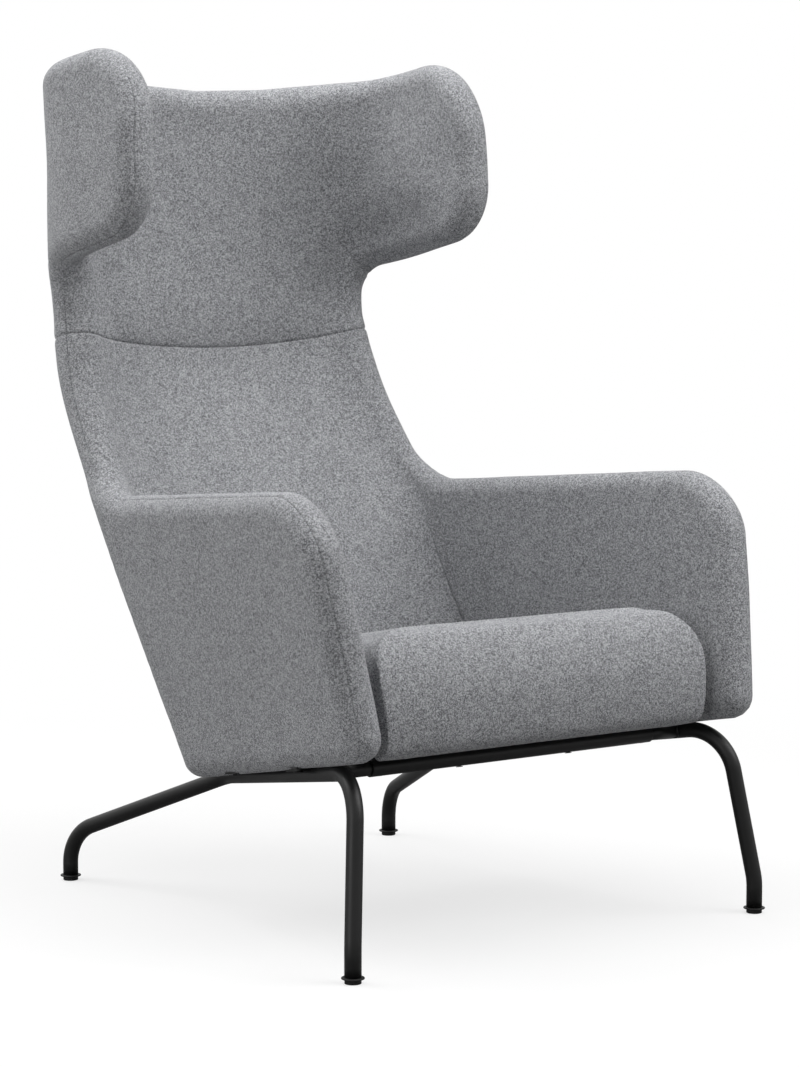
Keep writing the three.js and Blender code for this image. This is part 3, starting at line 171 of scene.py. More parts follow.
# Seams of the cover
HEAD_SEAM_HEIGHT = 730.0
HEAD_SEAM_RISE = 23.0
ARM_SEAM = ((303, 216), (299, 300), (291, 385), (283, 455), (290, 533))
WING_DART = ((233, 889), (261, 862))
EDGE_SEAM_ANGLE = math.radians(-27)
NECK_SEAM_ANGLE = math.radians(-4)
NECK_SEAM_RISE = (517.0, 561.0)
NECK_SEAM_FALL = (833.0, 875.0)
SEAM_LAYERS = (1.3, 2.8, 4.8, 8.0)
LAYER_MARGIN_SHARE = 0.7
INSERT_MARGIN = 2.0
INSERT_REACH = 30.0
LINE_POINTS = 200
DART_STEP = 2.0
SEAM_DEPTH = 1.7
SEAM_WIDTH = 1.8
EDGE_SEAM_DEPTH = 1.3
EDGE_SEAM_WIDTH = 1.2
SEAM_PUFF = 0.5
SEAM_PUFF_REACH = 9.0
SEAM_PUFF_WIDTH = 5.625
DART_DEPTH = 1.4
DART_WIDTH = 3.4
ROOTS = ((235, 870), (272, 515))
ROOT_REACH = (30.0, 75.0)
TOP_SEAM_FADE = (1070.0, 1105.0)
HEAD_PAD_SWELL = 21.0
HEAD_PAD_RISE = 45.0
HEAD_PAD_TOP = 1095.0
HEAD_PAD_FADE = 80.0
SOFT_WAVE = 0.25
WAVE_START = (4.0, 40.0)
WAVES_ROUND = (47.0, 23.0, 29.0)
WAVES_UP = (61.0, 31.0, 17.0)
WAVE_PHASES = (1.3, 0.4, 2.1)
WAVE_SHARES = (0.6, 0.5)

# Seat cushion in the sloping plane of the side rails
CUSHION_FRONT = 323.0
CUSHION_REAR = 176.0
CUSHION_BOTTOM = 22.7
CUSHION_TOP = 166.5
CUSHION_CROWN = 2.0
CUSHION_FRONT_HALF = 266.0
CUSHION_REAR_HALF = 200.0
CUSHION_FRONT_RADIUS = 5.0
CUSHION_REAR_RADIUS = 80.0
CORE_RING_SHARES = (0.75, 0.5, 0.25)
CUSHION_INSET = 170.0
FRONT_RADIUS_GAIN_SHARE = 0.2
REAR_RADIUS_LOSS_SHARE = 0.3
CUSHION_FRONT_INSETS = (1, 0.66, 0.424, 0.306, 0.194, 0.071, 0.012, 0, 0.047, 0.13, 0.235, 0.53, 1)
CUSHION_SIDE_INSETS = (1, 0.6, 0.25, 0.065, 0.022, 0.008, 0.003, 0, 0.016, 0.08, 0.2, 0.51, 1)
CUSHION_REAR_INSETS = (1, 0.8, 0.6, 0.42, 0.294, 0.235, 0.188, 0.094, 0.029, 0.012, 0.141, 0.53, 1)
CUSHION_FRONT_HEIGHTS = (0, 0, 0, -0.05, -0.095, -0.031, 0.183, 0.45, 0.705, 0.87, 0.965, 0.99, 1)
CUSHION_SIDE_HEIGHTS = (0, 0, 0, 0, 0.035, 0.149, 0.35, 0.551, 0.718, 0.846, 0.92, 0.973, 1)
CUSHION_REAR_HEIGHTS = (0, 0, 0, 0, 0, 0.076, 0.384, 0.665, 0.853, 0.946, 0.993, 1, 1)
CUSHION_WIDEST = 7
LEVEL_STEPS = 5
CUSHION_STEP = 8.0
CORNER_STEPS = 14
CUSHION_SWELL_CAP = 5.0
INWARD_SHARE = 0.2
END_SEAM_COLUMNS = 12
END_SEAM_STEP = 1.5
END_SEAMS = (2.5, 8.0, 13.0)
END_SEAM_DEPTH = 4.0
END_SEAM_WIDTH = 1.5
END_SEAM_START = 20.0
END_SEAM_FADE = 120.0
END_SEAM_TOP_MARGIN = 10.0
END_SEAM_SIDE_REACH = (12.0, 30.0)
CLOTH_VOXEL = 6.0
CLOTH_PRESSURE = 4.0
CLOTH_FRAMES = 20
CLOTH_QUALITY = 4
CLOTH_NEIGHBOURS = 12

# Felt: scale, detail, roughness and distortion of each noise, and weights of its layers in the melange
FELT_CURLS = (430, 1, 0.5, 1.0)
FELT_FIBRES = (760, 3, 0.6, 1.2)
FELT_FLECKS = (1500, 2, 0.6, 0.8)
FELT_CLOUDS = (22, 2, 0.5, 0.0)
FELT_WEIGHTS = (0.39, 0.22, 0.33, 0.06)
CURL_SHARPNESS = 7
FELT_DARK = (0.38, (0.1, 0.102, 0.11))
FELT_LIGHT = (0.62, (0.49, 0.498, 0.516))

# Coats: name, colour, roughness, grain scale, grain height in metres, specular level and metallic share
COATS = {
    "powder_coat": ("black_powder_coat", (0.007, 0.007, 0.007), 0.42, 1400, 0.0001, 0.28, 0.0),
    "nylon": ("black_nylon", (0.006, 0.006, 0.006), 0.55, 2200, 0.00006, 0.3, 0.0),
    "zinc": ("black_zinc", (0.02, 0.02, 0.021), 0.4, 900, 0.00004, 0.3, 0.6),
    "inner_steel": ("dark_primer", (0.03, 0.03, 0.032), 0.55, 900, 0.0001, 0.5, 0.0),
}
GRAIN_NOISE = (3, 0.5, 0.0)
PATCH_NOISE = (14, 2, 0.5, 0.0)
PATCH_STOPS = (0.3, 0.7)
PATCH_TONE_SHARES = (0.88, 1.14)
PATCH_GLOSS_SHARES = (0.86, 1.12)
WEBBING_GREY = (0.018, 0.018, 0.019)
WEBBING_PITCH = 0.0016
WEAVE_TONE_SHARES = (0.6, 1.5)

# Photograph: camera fitted to the base and shell
PHOTO_SIZE = (800, 1067)
FOCAL_PIXELS = 3022.0
CAMERA_PLACE = (-2432.0, -3186.0, 850.0)
CAMERA_AZIMUTH = math.radians(-37.26)
CAMERA_ELEVATION = math.radians(5.01)
SENSOR = 36.0

# Studio in metres and watts: each lamp has a name, a place, a size and a power
FLOOR_HALF = 14.0
FADE_RADII = (0.7, 1.9)
FLOOR_BOUNCE = 0.32
FLOOR_PALE = 0.93
FLOOR_LIFT = 0.72
WORLD_LIGHT = 0.05
WHITE = (1, 1, 1, 1)
LAMP_TARGET = Vector((0, 0, 0.55))
LAMPS = (
    ("top_softbox", (0, -0.3, 3.4), 2.6, 66),
    ("front_softbox", (2.2, -2.6, 2.6), 2.0, 68),
    ("near_softbox", (0.3, -1.7, 2.1), 1.0, 9.5),
    ("left_softbox", (-3.4, -0.4, 0.95), 2.0, 30),
    ("rear_left_softbox", (-1.6, 1.6, 2.8), 2.0, 46),
    ("rear_softbox", (0, 2.2, 3.0), 2.6, 36),
)

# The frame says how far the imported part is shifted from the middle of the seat
glide_low, glide_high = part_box("front_left_glide")
SHIFT_Y = (glide_low.y + glide_high.y) / 2 / MM - FRONT_FOOT[1]
RAIL_SLOPE = math.atan2(FRONT_CORNER[2] - REAR_CORNER[2], REAR_CORNER[1] - FRONT_CORNER[1])
RAIL_HEIGHT = FRONT_CORNER[2] + FRONT_CORNER[1] * math.tan(RAIL_SLOPE)
SLOPE_COS, SLOPE_SIN = math.cos(RAIL_SLOPE), math.sin(RAIL_SLOPE)


def from_rail_plane(points):
    """Rail plane positions (across, along, above) as positions in the chair."""
    across, along, above = np.asarray(points, float).T
    height = above * SLOPE_COS - along * SLOPE_SIN + RAIL_HEIGHT
    return np.column_stack([across, along * SLOPE_COS + above * SLOPE_SIN, height])


def to_rail_plane(point):
    """A position in the chair as a rail plane position."""
    x, y, z = point - np.array([0, 0, RAIL_HEIGHT])
    return x, y * SLOPE_COS - z * SLOPE_SIN, y * SLOPE_SIN + z * SLOPE_COS


def add_object(name, data):
    made = bpy.data.objects.new(name, data)
    bpy.context.scene.collection.objects.link(made)
    return made


def add_mesh(name, points, faces, flat_faces=0):
    """A mesh object that rides on the chair's body; the last flat_faces faces are shaded flat."""
    placed = (np.asarray(points, float) + [0, SHIFT_Y, 0]) * MM
    mesh = bpy.data.meshes.new(name)
    mesh.from_pydata(placed.tolist(), [], [[int(i) for i in f] for f in faces])
    smooth = np.ones(len(faces), bool)
    if flat_faces:
        smooth[-flat_faces:] = False
    mesh.polygons.foreach_set("use_smooth", smooth)
    mesh.update()
    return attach(add_object(name, mesh), "root")


# Materials
def set_inputs(tree, node, values):
    """Inputs of a shader node: an output of another node is linked, a plain value is set."""
    for name, value in values.items():
        if isinstance(value, bpy.types.NodeSocket):
            tree.links.new(value, node.inputs[name])
        else:
            node.inputs[name].default_value = value


def add_node(tree, kind, values, **settings):
    node = tree.nodes.new(f"ShaderNode{kind}")
    for name, value in settings.items():
        setattr(node, name, value)
    set_inputs(tree, node, values)
    return node


def new_material(name):
    """A material with its node tree, its shader and its place on the object."""
    made = bpy.data.materials.new(name)
    made.use_nodes = True
    tree = made.node_tree
    place = add_node(tree, "TexCoord", {}).outputs["Object"]
    return made, tree, tree.nodes["Principled BSDF"], place


def noise(tree, place, values):
    names = ("Vector", "Scale", "Detail", "Roughness", "Distortion")
    return add_node(tree, "TexNoise", dict(zip(names, (place, *values)))).outputs["Fac"]


def calculate(tree, operation, a, b):
    return add_node(tree, "Math", {0: a, 1: b}, operation=operation).outputs[0]


def colour_ramp(tree, value, *stops):
    """Colours along a value, from stops of a position and a colour."""
    ramp = add_node(tree, "ValToRGB", {"Fac": value})
    for element, (position, colour) in zip(ramp.color_ramp.elements, stops):
        element.position = position
        element.color = (*colour, 1)
    return ramp.outputs["Color"]


def scaled(values, share):
    return [value * share for value in values]


def relief(tree, height, strength, distance):
    values = {"Height": height, "Strength": strength, "Distance": distance}
    return add_node(tree, "Bump", values).outputs["Normal"]


def felt_material(name):
    """Melange wool felt: pressed fibres in two greys, with a soft nap."""
    made, tree, shader, place = new_material(name)
    curls = noise(tree, place, FELT_CURLS)
    ridges = calculate(tree, "ABSOLUTE", calculate(tree, "SUBTRACT", curls, 0.5), 0)
    ridges = calculate(tree, "MINIMUM", calculate(tree, "MULTIPLY", ridges, CURL_SHARPNESS), 1)
    fibres = noise(tree, place, FELT_FIBRES)
    flecks = noise(tree, place, FELT_FLECKS)
    clouds = noise(tree, place, FELT_CLOUDS)
    layers = zip((fibres, flecks, ridges, clouds), FELT_WEIGHTS)
    mixed, *others = [calculate(tree, "MULTIPLY", layer, weight) for layer, weight in layers]
    for other in others:
        mixed = calculate(tree, "ADD", mixed, other)
    set_inputs(tree, shader, {
        "Base Color": colour_ramp(tree, mixed, FELT_DARK, FELT_LIGHT),
        "Roughness": 0.92,
        "Specular IOR Level": 0.15,
        "Sheen Weight": 0.12,
        "Sheen Roughness": 0.5,
        "Normal": relief(tree, mixed, strength=0.55, distance=0.0006),
    })
    return made


def coated_material(name, colour, roughness, grain_scale, grain_height, specular, metallic):
    """A coated or moulded surface with a fine grain and slightly uneven gloss."""
    made, tree, shader, place = new_material(name)
    grain = noise(tree, place, (grain_scale, *GRAIN_NOISE))
    patches = noise(tree, place, PATCH_NOISE)
    stops = [(stop, scaled(colour, share)) for stop, share in zip(PATCH_STOPS, PATCH_TONE_SHARES)]
    low, high = scaled(PATCH_GLOSS_SHARES, roughness)
    gloss = add_node(tree, "MapRange", {"Value": patches, "To Min": low, "To Max": high})
    set_inputs(tree, shader, {
        "Base Color": colour_ramp(tree, patches, *stops),
        "Roughness": gloss.outputs["Result"],
        "Metallic": metallic,
        "Specular IOR Level": specular,
        "Normal": relief(tree, grain, strength=0.35, distance=grain_height),
    })
    return made


def woven_material(name, colour, pitch):
    """Plain weave webbing or lining cloth."""
    made, tree, shader, place = new_material(name)
    threads = {"Vector": place, "Scale": 0.5 / pitch, "Distortion": 0.4}
    waves = [add_node(tree, "TexWave", threads, bands_direction=axis).outputs["Fac"] for axis in ("X", "Y")]
    weave = calculate(tree, "MULTIPLY", *waves)
    low, high = (scaled(colour, share) for share in WEAVE_TONE_SHARES)
    set_inputs(tree, shader, {
        "Base Color": colour_ramp(tree, weave, (0, low), (1, high)),
        "Roughness": 0.85,
        "Normal": relief(tree, weave, strength=0.4, distance=0.0005),
    })
    return made


SLOT_MATERIALS = {slot: coated_material(*values) for slot, values in COATS.items()}
SLOT_MATERIALS["felt"] = felt_material("melange_felt")
SLOT_MATERIALS["webbing"] = woven_material("black_webbing", WEBBING_GREY, WEBBING_PITCH)
SLOT_MATERIALS["foam"] = SLOT_MATERIALS["webbing"]
for part in frame["record"]["subparts"]:
    cad = frame["nodes"][part["node"]]
    cad.data.materials.clear()
    cad.data.materials.append(SLOT_MATERIALS[part["material_slot"]])


def dress(piece, slot, *nodes):
    """Material and slot of a piece, and the CAD nodes that it replaces."""
    piece.data.materials.append(SLOT_MATERIALS[slot])
    if nodes:
        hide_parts(*nodes)
    return piece


# Paths and faces that several pieces share
def unit(vectors):
    return vectors / np.linalg.norm(vectors, axis=-1, keepdims=True)


def lengths_along(path):
    """Length of a path up to each of its points."""
    return np.concatenate([[0], np.cumsum(np.linalg.norm(np.diff(path, axis=0), axis=1))])


def points_at(at, lengths, path):
    return np.column_stack([np.interp(at, lengths, column) for column in path.T])


def tube_faces(rings, count, closed=False, first=0):
    """Quads between neighbouring rings of points; where closed, the last ring meets the first."""
    faces = []
    for ring in range(rings if closed else rings - 1):
        low, high = first + ring * count, first + (ring + 1) % rings * count
        for k in range(count):
            after = (k + 1) % count
            faces.append((low + k, low + after, high + after, high + k))
    return faces


def end_faces(rings, count):
    """The two flat faces that close a tube."""
    return [list(range(count))[::-1], list(range((rings - 1) * count, rings * count))]


def tip_faces(tip, first, count, way):
    """Triangles from a ring to the point beyond it; way is 1 above the ring and -1 below it."""
    return [(tip, first + k, first + (k + 1) % count)[::way] for k in range(count)]


def corner_arc(before, corner, after, radius):
    """Centre, both arms and the turn of the arc that rounds a corner."""
    before, corner, after = (np.array(p, float) for p in (before, corner, after))
    to_before, to_after = unit(before - corner), unit(after - corner)
    opening = math.acos(float(to_before @ to_after))
    centre = corner + unit(to_before + to_after) * radius / math.sin(opening / 2)
    start = corner + to_before * radius / math.tan(opening / 2) - centre
    return centre, start, -to_before * radius, math.pi - opening


def arc_points(centre, start, side, turns):
    return centre + np.outer(np.cos(turns), start) + np.outer(np.sin(turns), side)


# Swept tubes and turned pieces
def fillet_path(corners, step):
    """Corners are (point, radius); inner corners become arcs."""
    path = [corners[0][0]]
    for (before, _), (corner, radius), (after, _) in zip(corners, corners[1:], corners[2:]):
        *arms, turn = corner_arc(before, corner, after, radius)
        path.append(arc_points(*arms, np.linspace(0, turn, max(2, math.ceil(turn / step)) + 1)))
    return np.vstack([*path, corners[-1][0]])


def sweep(path, radii, sides, closed=False):
    """Points and faces of a round tube along path with one radius for each station."""
    path = np.asarray(path, float)
    if closed:
        ahead, behind = np.roll(path, -1, 0), np.roll(path, 1, 0)
    else:
        ahead, behind = np.vstack([path[1:], path[-1:]]), np.vstack([path[:1], path[:-1]])
    tangents = unit(ahead - behind)
    start = np.eye(3)[np.argmin(abs(tangents[0]))]
    side = start - tangents[0] * (start @ tangents[0])
    angles = np.arange(sides) * 2 * math.pi / sides
    points = []
    for centre, tangent, radius in zip(path, tangents, np.broadcast_to(radii, len(path))):
        side = unit(side - tangent * (side @ tangent))
        points.append(arc_points(centre, radius * side, radius * np.cross(tangent, side), angles))
    caps = [] if closed else end_faces(len(path), sides)
    return np.vstack(points), tube_faces(len(path), sides, closed) + caps


def lipped(ends, radius, lip):
    """Path and radii of a straight bar whose ends are rounded over by a lip."""
    start, end = ends
    along = unit(end - start)
    turns = np.linspace(0, math.pi / 2, EDGE_STEPS)
    steps, rises = lip * (1 - np.cos(turns)), radius - lip * (1 - np.sin(turns))
    path = np.vstack([start + np.outer(steps, along), end - np.outer(steps[::-1], along)])
    return path, [*rises, *rises[::-1]]


def add_swept(name, path, radii, node):
    """A round bar with flat ends."""
    points, faces = sweep(path, radii, TUBE_SIDES)
    return dress(add_mesh(name, points, faces, flat_faces=2), "powder_coat", node)


TUBE_RADIUS = TUBE_DIAMETER / 2
SIDES = (("left", -1), ("right", 1))
RIGHT_ROUTE = fillet_path([
    ((*FRONT_FOOT, TUBE_END_HEIGHT), 0),
    ((*FRONT_FOOT, FRONT_KINK_HEIGHT), KINK_BEND_RADIUS),
    (FRONT_CORNER, LEG_BEND_RADIUS),
    (REAR_CORNER, LEG_BEND_RADIUS),
    ((*REAR_FOOT, REAR_LEG_HEIGHT), LEG_BEND_RADIUS),
    ((*REAR_FOOT, TUBE_END_HEIGHT), 0),
], BEND_STEP)
for side_name, side in SIDES:
    route = RIGHT_ROUTE * [side, 1, 1]
    add_swept(f"{side_name}_frame_tube", route, TUBE_RADIUS, f"{side_name}_side_frame")


def rail_across(along):
    """Half the distance between the side rails at a place along them."""
    ends = (FRONT_CORNER[1] / SLOPE_COS, REAR_CORNER[1] / SLOPE_COS)
    return np.interp(along, ends, (FRONT_CORNER[0], REAR_CORNER[0]))


STUB_RADIUS = TUBE_RADIUS - CROSS_WALL - STUB_GAP
CROSSES = (("front", FRONT_CROSS_Y / SLOPE_COS), ("rear", REAR_CROSS_Y / SLOPE_COS))
for cross_name, along in CROSSES:
    rail_here = rail_across(along)
    tube_end = rail_here - CROSS_SHOULDER
    ends = from_rail_plane([(-tube_end, along, 0), (tube_end, along, 0)])
    path, radii = lipped(ends, TUBE_RADIUS, TUBE_LIP)
    add_swept(f"{cross_name}_cross_bar", path, radii, f"{cross_name}_cross_tube")
    for side_name, side in SIDES:
        corner_name = f"{cross_name}_{side_name}"
        hidden_end = side * (tube_end - STUB_INSERTION)
        stub = from_rail_plane([(hidden_end, along, 0), (side * rail_here, along, 0)])
        add_swept(f"{corner_name}_spigot", stub, STUB_RADIUS, f"{corner_name}_stub")
        turns = np.linspace(0, 2 * math.pi, WELD_POINTS, endpoint=False)
        above = STUB_RADIUS * np.sin(turns)
        across = side * (rail_here - np.sqrt(TUBE_RADIUS ** 2 - above ** 2))
        ring = from_rail_plane(np.column_stack([across, along + STUB_RADIUS * np.cos(turns), above]))
        bead = WELD_RADIUS * (1 + WELD_RIPPLE_SHARE * np.sin(turns * WELD_RIPPLES))
        dress(add_mesh(f"{corner_name}_weld", *sweep(ring, bead, WELD_SIDES, closed=True)), "powder_coat")


def add_turned(name, profile, centre, sides, slot, node, in_rail_plane=False):
    """A closed piece turned about an upright axis; the profile runs from the axis to the axis."""
    angles = np.arange(sides) * 2 * math.pi / sides
    rings = profile[1:-1]
    points = [(0, 0, profile[0][1])]
    for radius, height in rings:
        points += [(radius * math.cos(a), radius * math.sin(a), height) for a in angles]
    points.append((0, 0, profile[-1][1]))
    faces = tip_faces(0, 1, sides, -1) + tube_faces(len(rings), sides, first=1)
    faces += tip_faces(len(points) - 1, len(points) - 1 - sides, sides, 1)
    placed = np.array(points) + [*centre, 0]
    if in_rail_plane:
        placed = from_rail_plane(placed)
    dress(add_mesh(name, placed, faces), slot, node)


def rounded(corner_points, radius):
    """A profile whose inner corners are rounded."""
    return fillet_path([(corner, radius) for corner in corner_points], math.pi / 2 / EDGE_STEPS)


flange_top = TUBE_END_HEIGHT - STUB_GAP
flange_bottom = flange_top - FLANGE_THICKNESS
glide_profile = rounded([
    (0, 0),
    (PUCK_DIAMETER / 2, 0),
    (PUCK_DIAMETER / 2, flange_bottom),
    (FLANGE_DIAMETER / 2, flange_bottom),
    (FLANGE_DIAMETER / 2, flange_top),
    (0, flange_top),
], FLANGE_THICKNESS * GLIDE_EDGE_SHARE)
for side_name, side in SIDES:
    for end_name, (x, y) in (("front", FRONT_FOOT), ("rear", REAR_FOOT)):
        corner_name = f"{end_name}_{side_name}"
        add_turned(f"{corner_name}_foot_glide", glide_profile, (side * x, y), GLIDE_SIDES, "nylon",
                   f"{corner_name}_glide")


# Low-headed bolts under the deck and the shell, and the welded tabs
def add_bolt(name, centre, head_top, sizes, node):
    head, head_height, shank, shank_top = sizes
    profile = rounded([
        (0, head_top - head_height),
        (head / 2, head_top - head_height),
        (head / 2, head_top),
        (shank / 2, head_top),
        (shank / 2, shank_top),
        (0, shank_top),
    ], head_height * BOLT_EDGE_SHARE)
    add_turned(name, profile, centre, BOLT_SIDES, "zinc", node, in_rail_plane=True)


def slab(flat, bottom, top):
    """A flat plate in the rail plane from its outline."""
    points = [np.column_stack([flat, np.full(len(flat), level)]) for level in (bottom, top)]
    return from_rail_plane(np.vstack(points)), tube_faces(2, len(flat)) + end_faces(2, len(flat))


TAB_TOP = TUBE_RADIUS - TAB_DROP
for side_name, side in SIDES:
    for cross_name, cross_along in CROSSES:
        corner_name = f"{cross_name}_{side_name}"
        add_bolt(f"{corner_name}_deck_screw", (side * DECK_BOLT_ACROSS, cross_along),
                 -TUBE_RADIUS - STUB_GAP, DECK_BOLT, f"{corner_name}_deck_bolt")
        bolt_low, bolt_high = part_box(f"{corner_name}_shell_bolt")
        bolt_middle = np.array((bolt_low + bolt_high) / 2) / MM - [0, SHIFT_Y, 0]
        across, along = to_rail_plane(bolt_middle)[:2]
        add_bolt(f"{corner_name}_shell_screw", (across, along),
                 TAB_TOP - TAB_THICKNESS - STUB_GAP, SHELL_BOLT, f"{corner_name}_shell_bolt")
        edges = (along - TAB_WIDTH / 2, along + TAB_WIDTH / 2)
        inner = [(side * (rail_across(edge) + TAB_TUBE_REACH), edge) for edge in edges]
        outer = [(across + side * TAB_END_MARGIN, edge) for edge in edges]
        corners = [(inner[0], 0), *[(corner, TAB_CORNER_RADIUS) for corner in outer], (inner[1], 0)]
        points, faces = slab(fillet_path(corners, TAB_CORNER_STEP)[::side], TAB_TOP - TAB_THICKNESS, TAB_TOP)
        tab = add_mesh(f"{corner_name}_shell_tab", points, faces, len(faces))
        dress(tab, "powder_coat", f"{corner_name}_tab")


# Mid surface of the shell as a fine table, read by interpolation
def natural_spline(xs, ys):
    xs, ys = np.array(xs, float), np.array(ys, float)
    widths, slopes = np.diff(xs), np.diff(ys) / np.diff(xs)
    system = np.eye(len(xs))
    right = np.zeros(len(xs))
    for i in range(1, len(xs) - 1):
        system[i, i - 1:i + 2] = widths[i - 1], 2 * (widths[i - 1] + widths[i]), widths[i]
        right[i] = 6 * (slopes[i] - slopes[i - 1])
    bends = np.linalg.solve(system, right)

    def value(x):
        inside = np.clip(x, xs[0], xs[-1])
        k = np.clip(np.searchsorted(xs, inside) - 1, 0, len(xs) - 2)
        a = (xs[k + 1] - inside) / widths[k]
        b = 1 - a
        result = a * ys[k] + b * ys[k + 1]
        result += ((a ** 3 - a) * bends[k] + (b ** 3 - b) * bends[k + 1]) * widths[k] ** 2 / 6
        bending = (3 * b ** 2 - 1) * bends[k + 1] - (3 * a ** 2 - 1) * bends[k]
        return result + (slopes[k] + bending * widths[k] / 6) * (x - inside)

    return value


def smooth_ramp(values, low, high):
    share = np.clip((np.asarray(values, float) - low) / (high - low), 0, 1)
    return share * share * (3 - 2 * share)


ROUNDS = np.arange(0, TABLE_REACH, TABLE_STEP)
HEIGHTS = np.arange(*TABLE_HEIGHTS, TABLE_STEP)


def share_spline(height_shares, shares, whole):
    return natural_spline(np.multiply(height_shares, SURFACE_TOP), np.multiply(shares, whole))


def surface_table():
    """Positions of the mid surface by height and distance round, right half."""
    depth_at = share_spline(BACK_HEIGHT_SHARES, BACK_REACH_SHARES, BACK_REACH)
    half_at = share_spline(WIDTH_HEIGHT_SHARES, WIDTH_SHARES, HALF_WIDTH)
    corner_at = share_spline(CORNER_HEIGHT_SHARES, CORNER_DEPTH_SHARES, CORNER_DEPTH)
    t = np.linspace(0, 1, CURVE_POINTS)[:, None]
    rows = []
    for z in HEIGHTS:
        depth, half, corner = (float(f(np.array(z))) for f in (depth_at, half_at, corner_at))
        flare = ARM_FLARE + (WING_FLARE - ARM_FLARE) * float(smooth_ramp(z, *FLARE_HEIGHTS))
        flare += TOP_FLARE * float(smooth_ramp(z, *TOP_FLARE_HEIGHTS))
        forward = np.array([math.sin(flare), -math.cos(flare)])
        end = np.array([half, depth - corner])
        start, handle = np.array([0, depth]), np.array([BACK_HANDLE_SHARE * half, depth])
        corner_handle = end - forward * corner * CORNER_HANDLE_SHARE
        curve = (1 - t) ** 3 * start + 3 * t * (1 - t) ** 2 * handle
        curve = curve + 3 * t * t * (1 - t) * corner_handle + t ** 3 * end
        lengths = lengths_along(curve)
        beyond = np.maximum(ROUNDS - lengths[-1], 0)[:, None]
        flat = points_at(ROUNDS, lengths, curve) + beyond * forward
        rows.append(np.column_stack([flat, np.full(len(ROUNDS), z)]))
    return np.array(rows)


TABLE = surface_table()
MIRRORED = np.concatenate([TABLE[:, 1:3][:, ::-1] * [-1, 1, 1], TABLE], axis=1)
NORMALS = unit(np.cross(np.gradient(MIRRORED, axis=1), np.gradient(MIRRORED, axis=0))[:, 2:])


def read_table(table, flat):
    """Values of a table at developed positions; the left half is the mirror of the right."""
    across = np.clip(abs(flat[:, 0]) / TABLE_STEP, 0, len(ROUNDS) - TABLE_MARGIN)
    upward = np.clip((flat[:, 1] - HEIGHTS[0]) / TABLE_STEP, 0, len(HEIGHTS) - TABLE_MARGIN)
    i, k = across.astype(int), upward.astype(int)
    a, b = (across - i)[:, None], (upward - k)[:, None]
    lower = table[k, i] * (1 - a) + table[k, i + 1] * a
    upper = table[k + 1, i] * (1 - a) + table[k + 1, i + 1] * a
    found = lower * (1 - b) + upper * b
    found[:, 0] *= np.where(flat[:, 0] < 0, -1, 1)
    return found


def core_of(flat):
    """Centre, normal and half thickness of the upholstery at developed positions."""
    middle, normal = read_table(TABLE, flat), unit(read_table(NORMALS, flat))
    u, z = abs(flat[:, 0]), flat[:, 1]
    swell = NECK_SWELL * (1 - smooth_ramp(u, *SWELL_ACROSS)) * smooth_ramp(z, *SWELL_HEIGHTS)
    outer = OUTER_HALF + swell * (1 - SWELL_FADE * smooth_ramp(z, *SWELL_FADE_HEIGHTS))
    return middle + normal * ((INNER_HALF - outer) / 2)[:, None], normal, (INNER_HALF + outer) / 2


# Outline and seams in the developed plane
def rounded_outline(step):
    """The outline as points whose outer edge is spaced evenly, so they stand closer in tight corners."""
    path = fillet_path([((u, z), radius) for u, z, radius in OUTLINE], OUTLINE_BEND_STEP)
    pieces = np.diff(path, axis=0)
    turns = abs(np.gradient(np.unwrap(np.arctan2(pieces[:, 1], pieces[:, 0]))))
    reach = np.concatenate([[0], np.cumsum(np.linalg.norm(pieces, axis=1) + INNER_HALF * turns)])
    return points_at(np.linspace(0, reach[-1], round(reach[-1] / step) + 1), reach, path)


def resample(path, step):
    path = np.asarray(path, float)
    lengths = lengths_along(path)
    count = max(2, round(lengths[-1] / step)) + 1
    return points_at(np.linspace(0, lengths[-1], count), lengths, path)


def smooth_line(points, step):
    """A smooth curve through a few points."""
    points = np.array(points, float)
    chord = lengths_along(points)
    fine = np.linspace(0, chord[-1], LINE_POINTS)
    return resample(np.column_stack([natural_spline(chord, column)(fine) for column in points.T]), step)


def nearest(line, targets):
    """Numbers of the line's points that are nearest to the targets."""
    return [int(np.argmin(np.linalg.norm(line - target, axis=1))) for target in targets]


def insert_near(outline, target):
    """The outline with finer points round the place nearest to target."""
    k = nearest(outline, [target])[0]
    tangent = unit(outline[k + 1] - outline[k - 1])
    offsets = sorted([0, *SEAM_LAYERS, *[-s for s in SEAM_LAYERS]])
    here = outline[k] + tangent * float((np.array(target) - outline[k]) @ tangent)
    along = (outline - here) @ tangent
    far = np.linalg.norm(outline - here, axis=1) > INSERT_REACH
    below = far | (along < offsets[0] - INSERT_MARGIN)
    beyond = far | (along > offsets[-1] + INSERT_MARGIN)
    below[k + 1:] = False
    beyond[:k + 1] = False
    return np.vstack([outline[below], here + np.outer(offsets, tangent), outline[beyond]])


def mirror(line):
    return np.asarray(line)[::-1] * [-1, 1]


def head_seam_height(share):
    """Height of the head seam at a share of the neck's half width."""
    return HEAD_SEAM_HEIGHT + (outline[head_end][1] - HEAD_SEAM_HEIGHT) * share ** 2


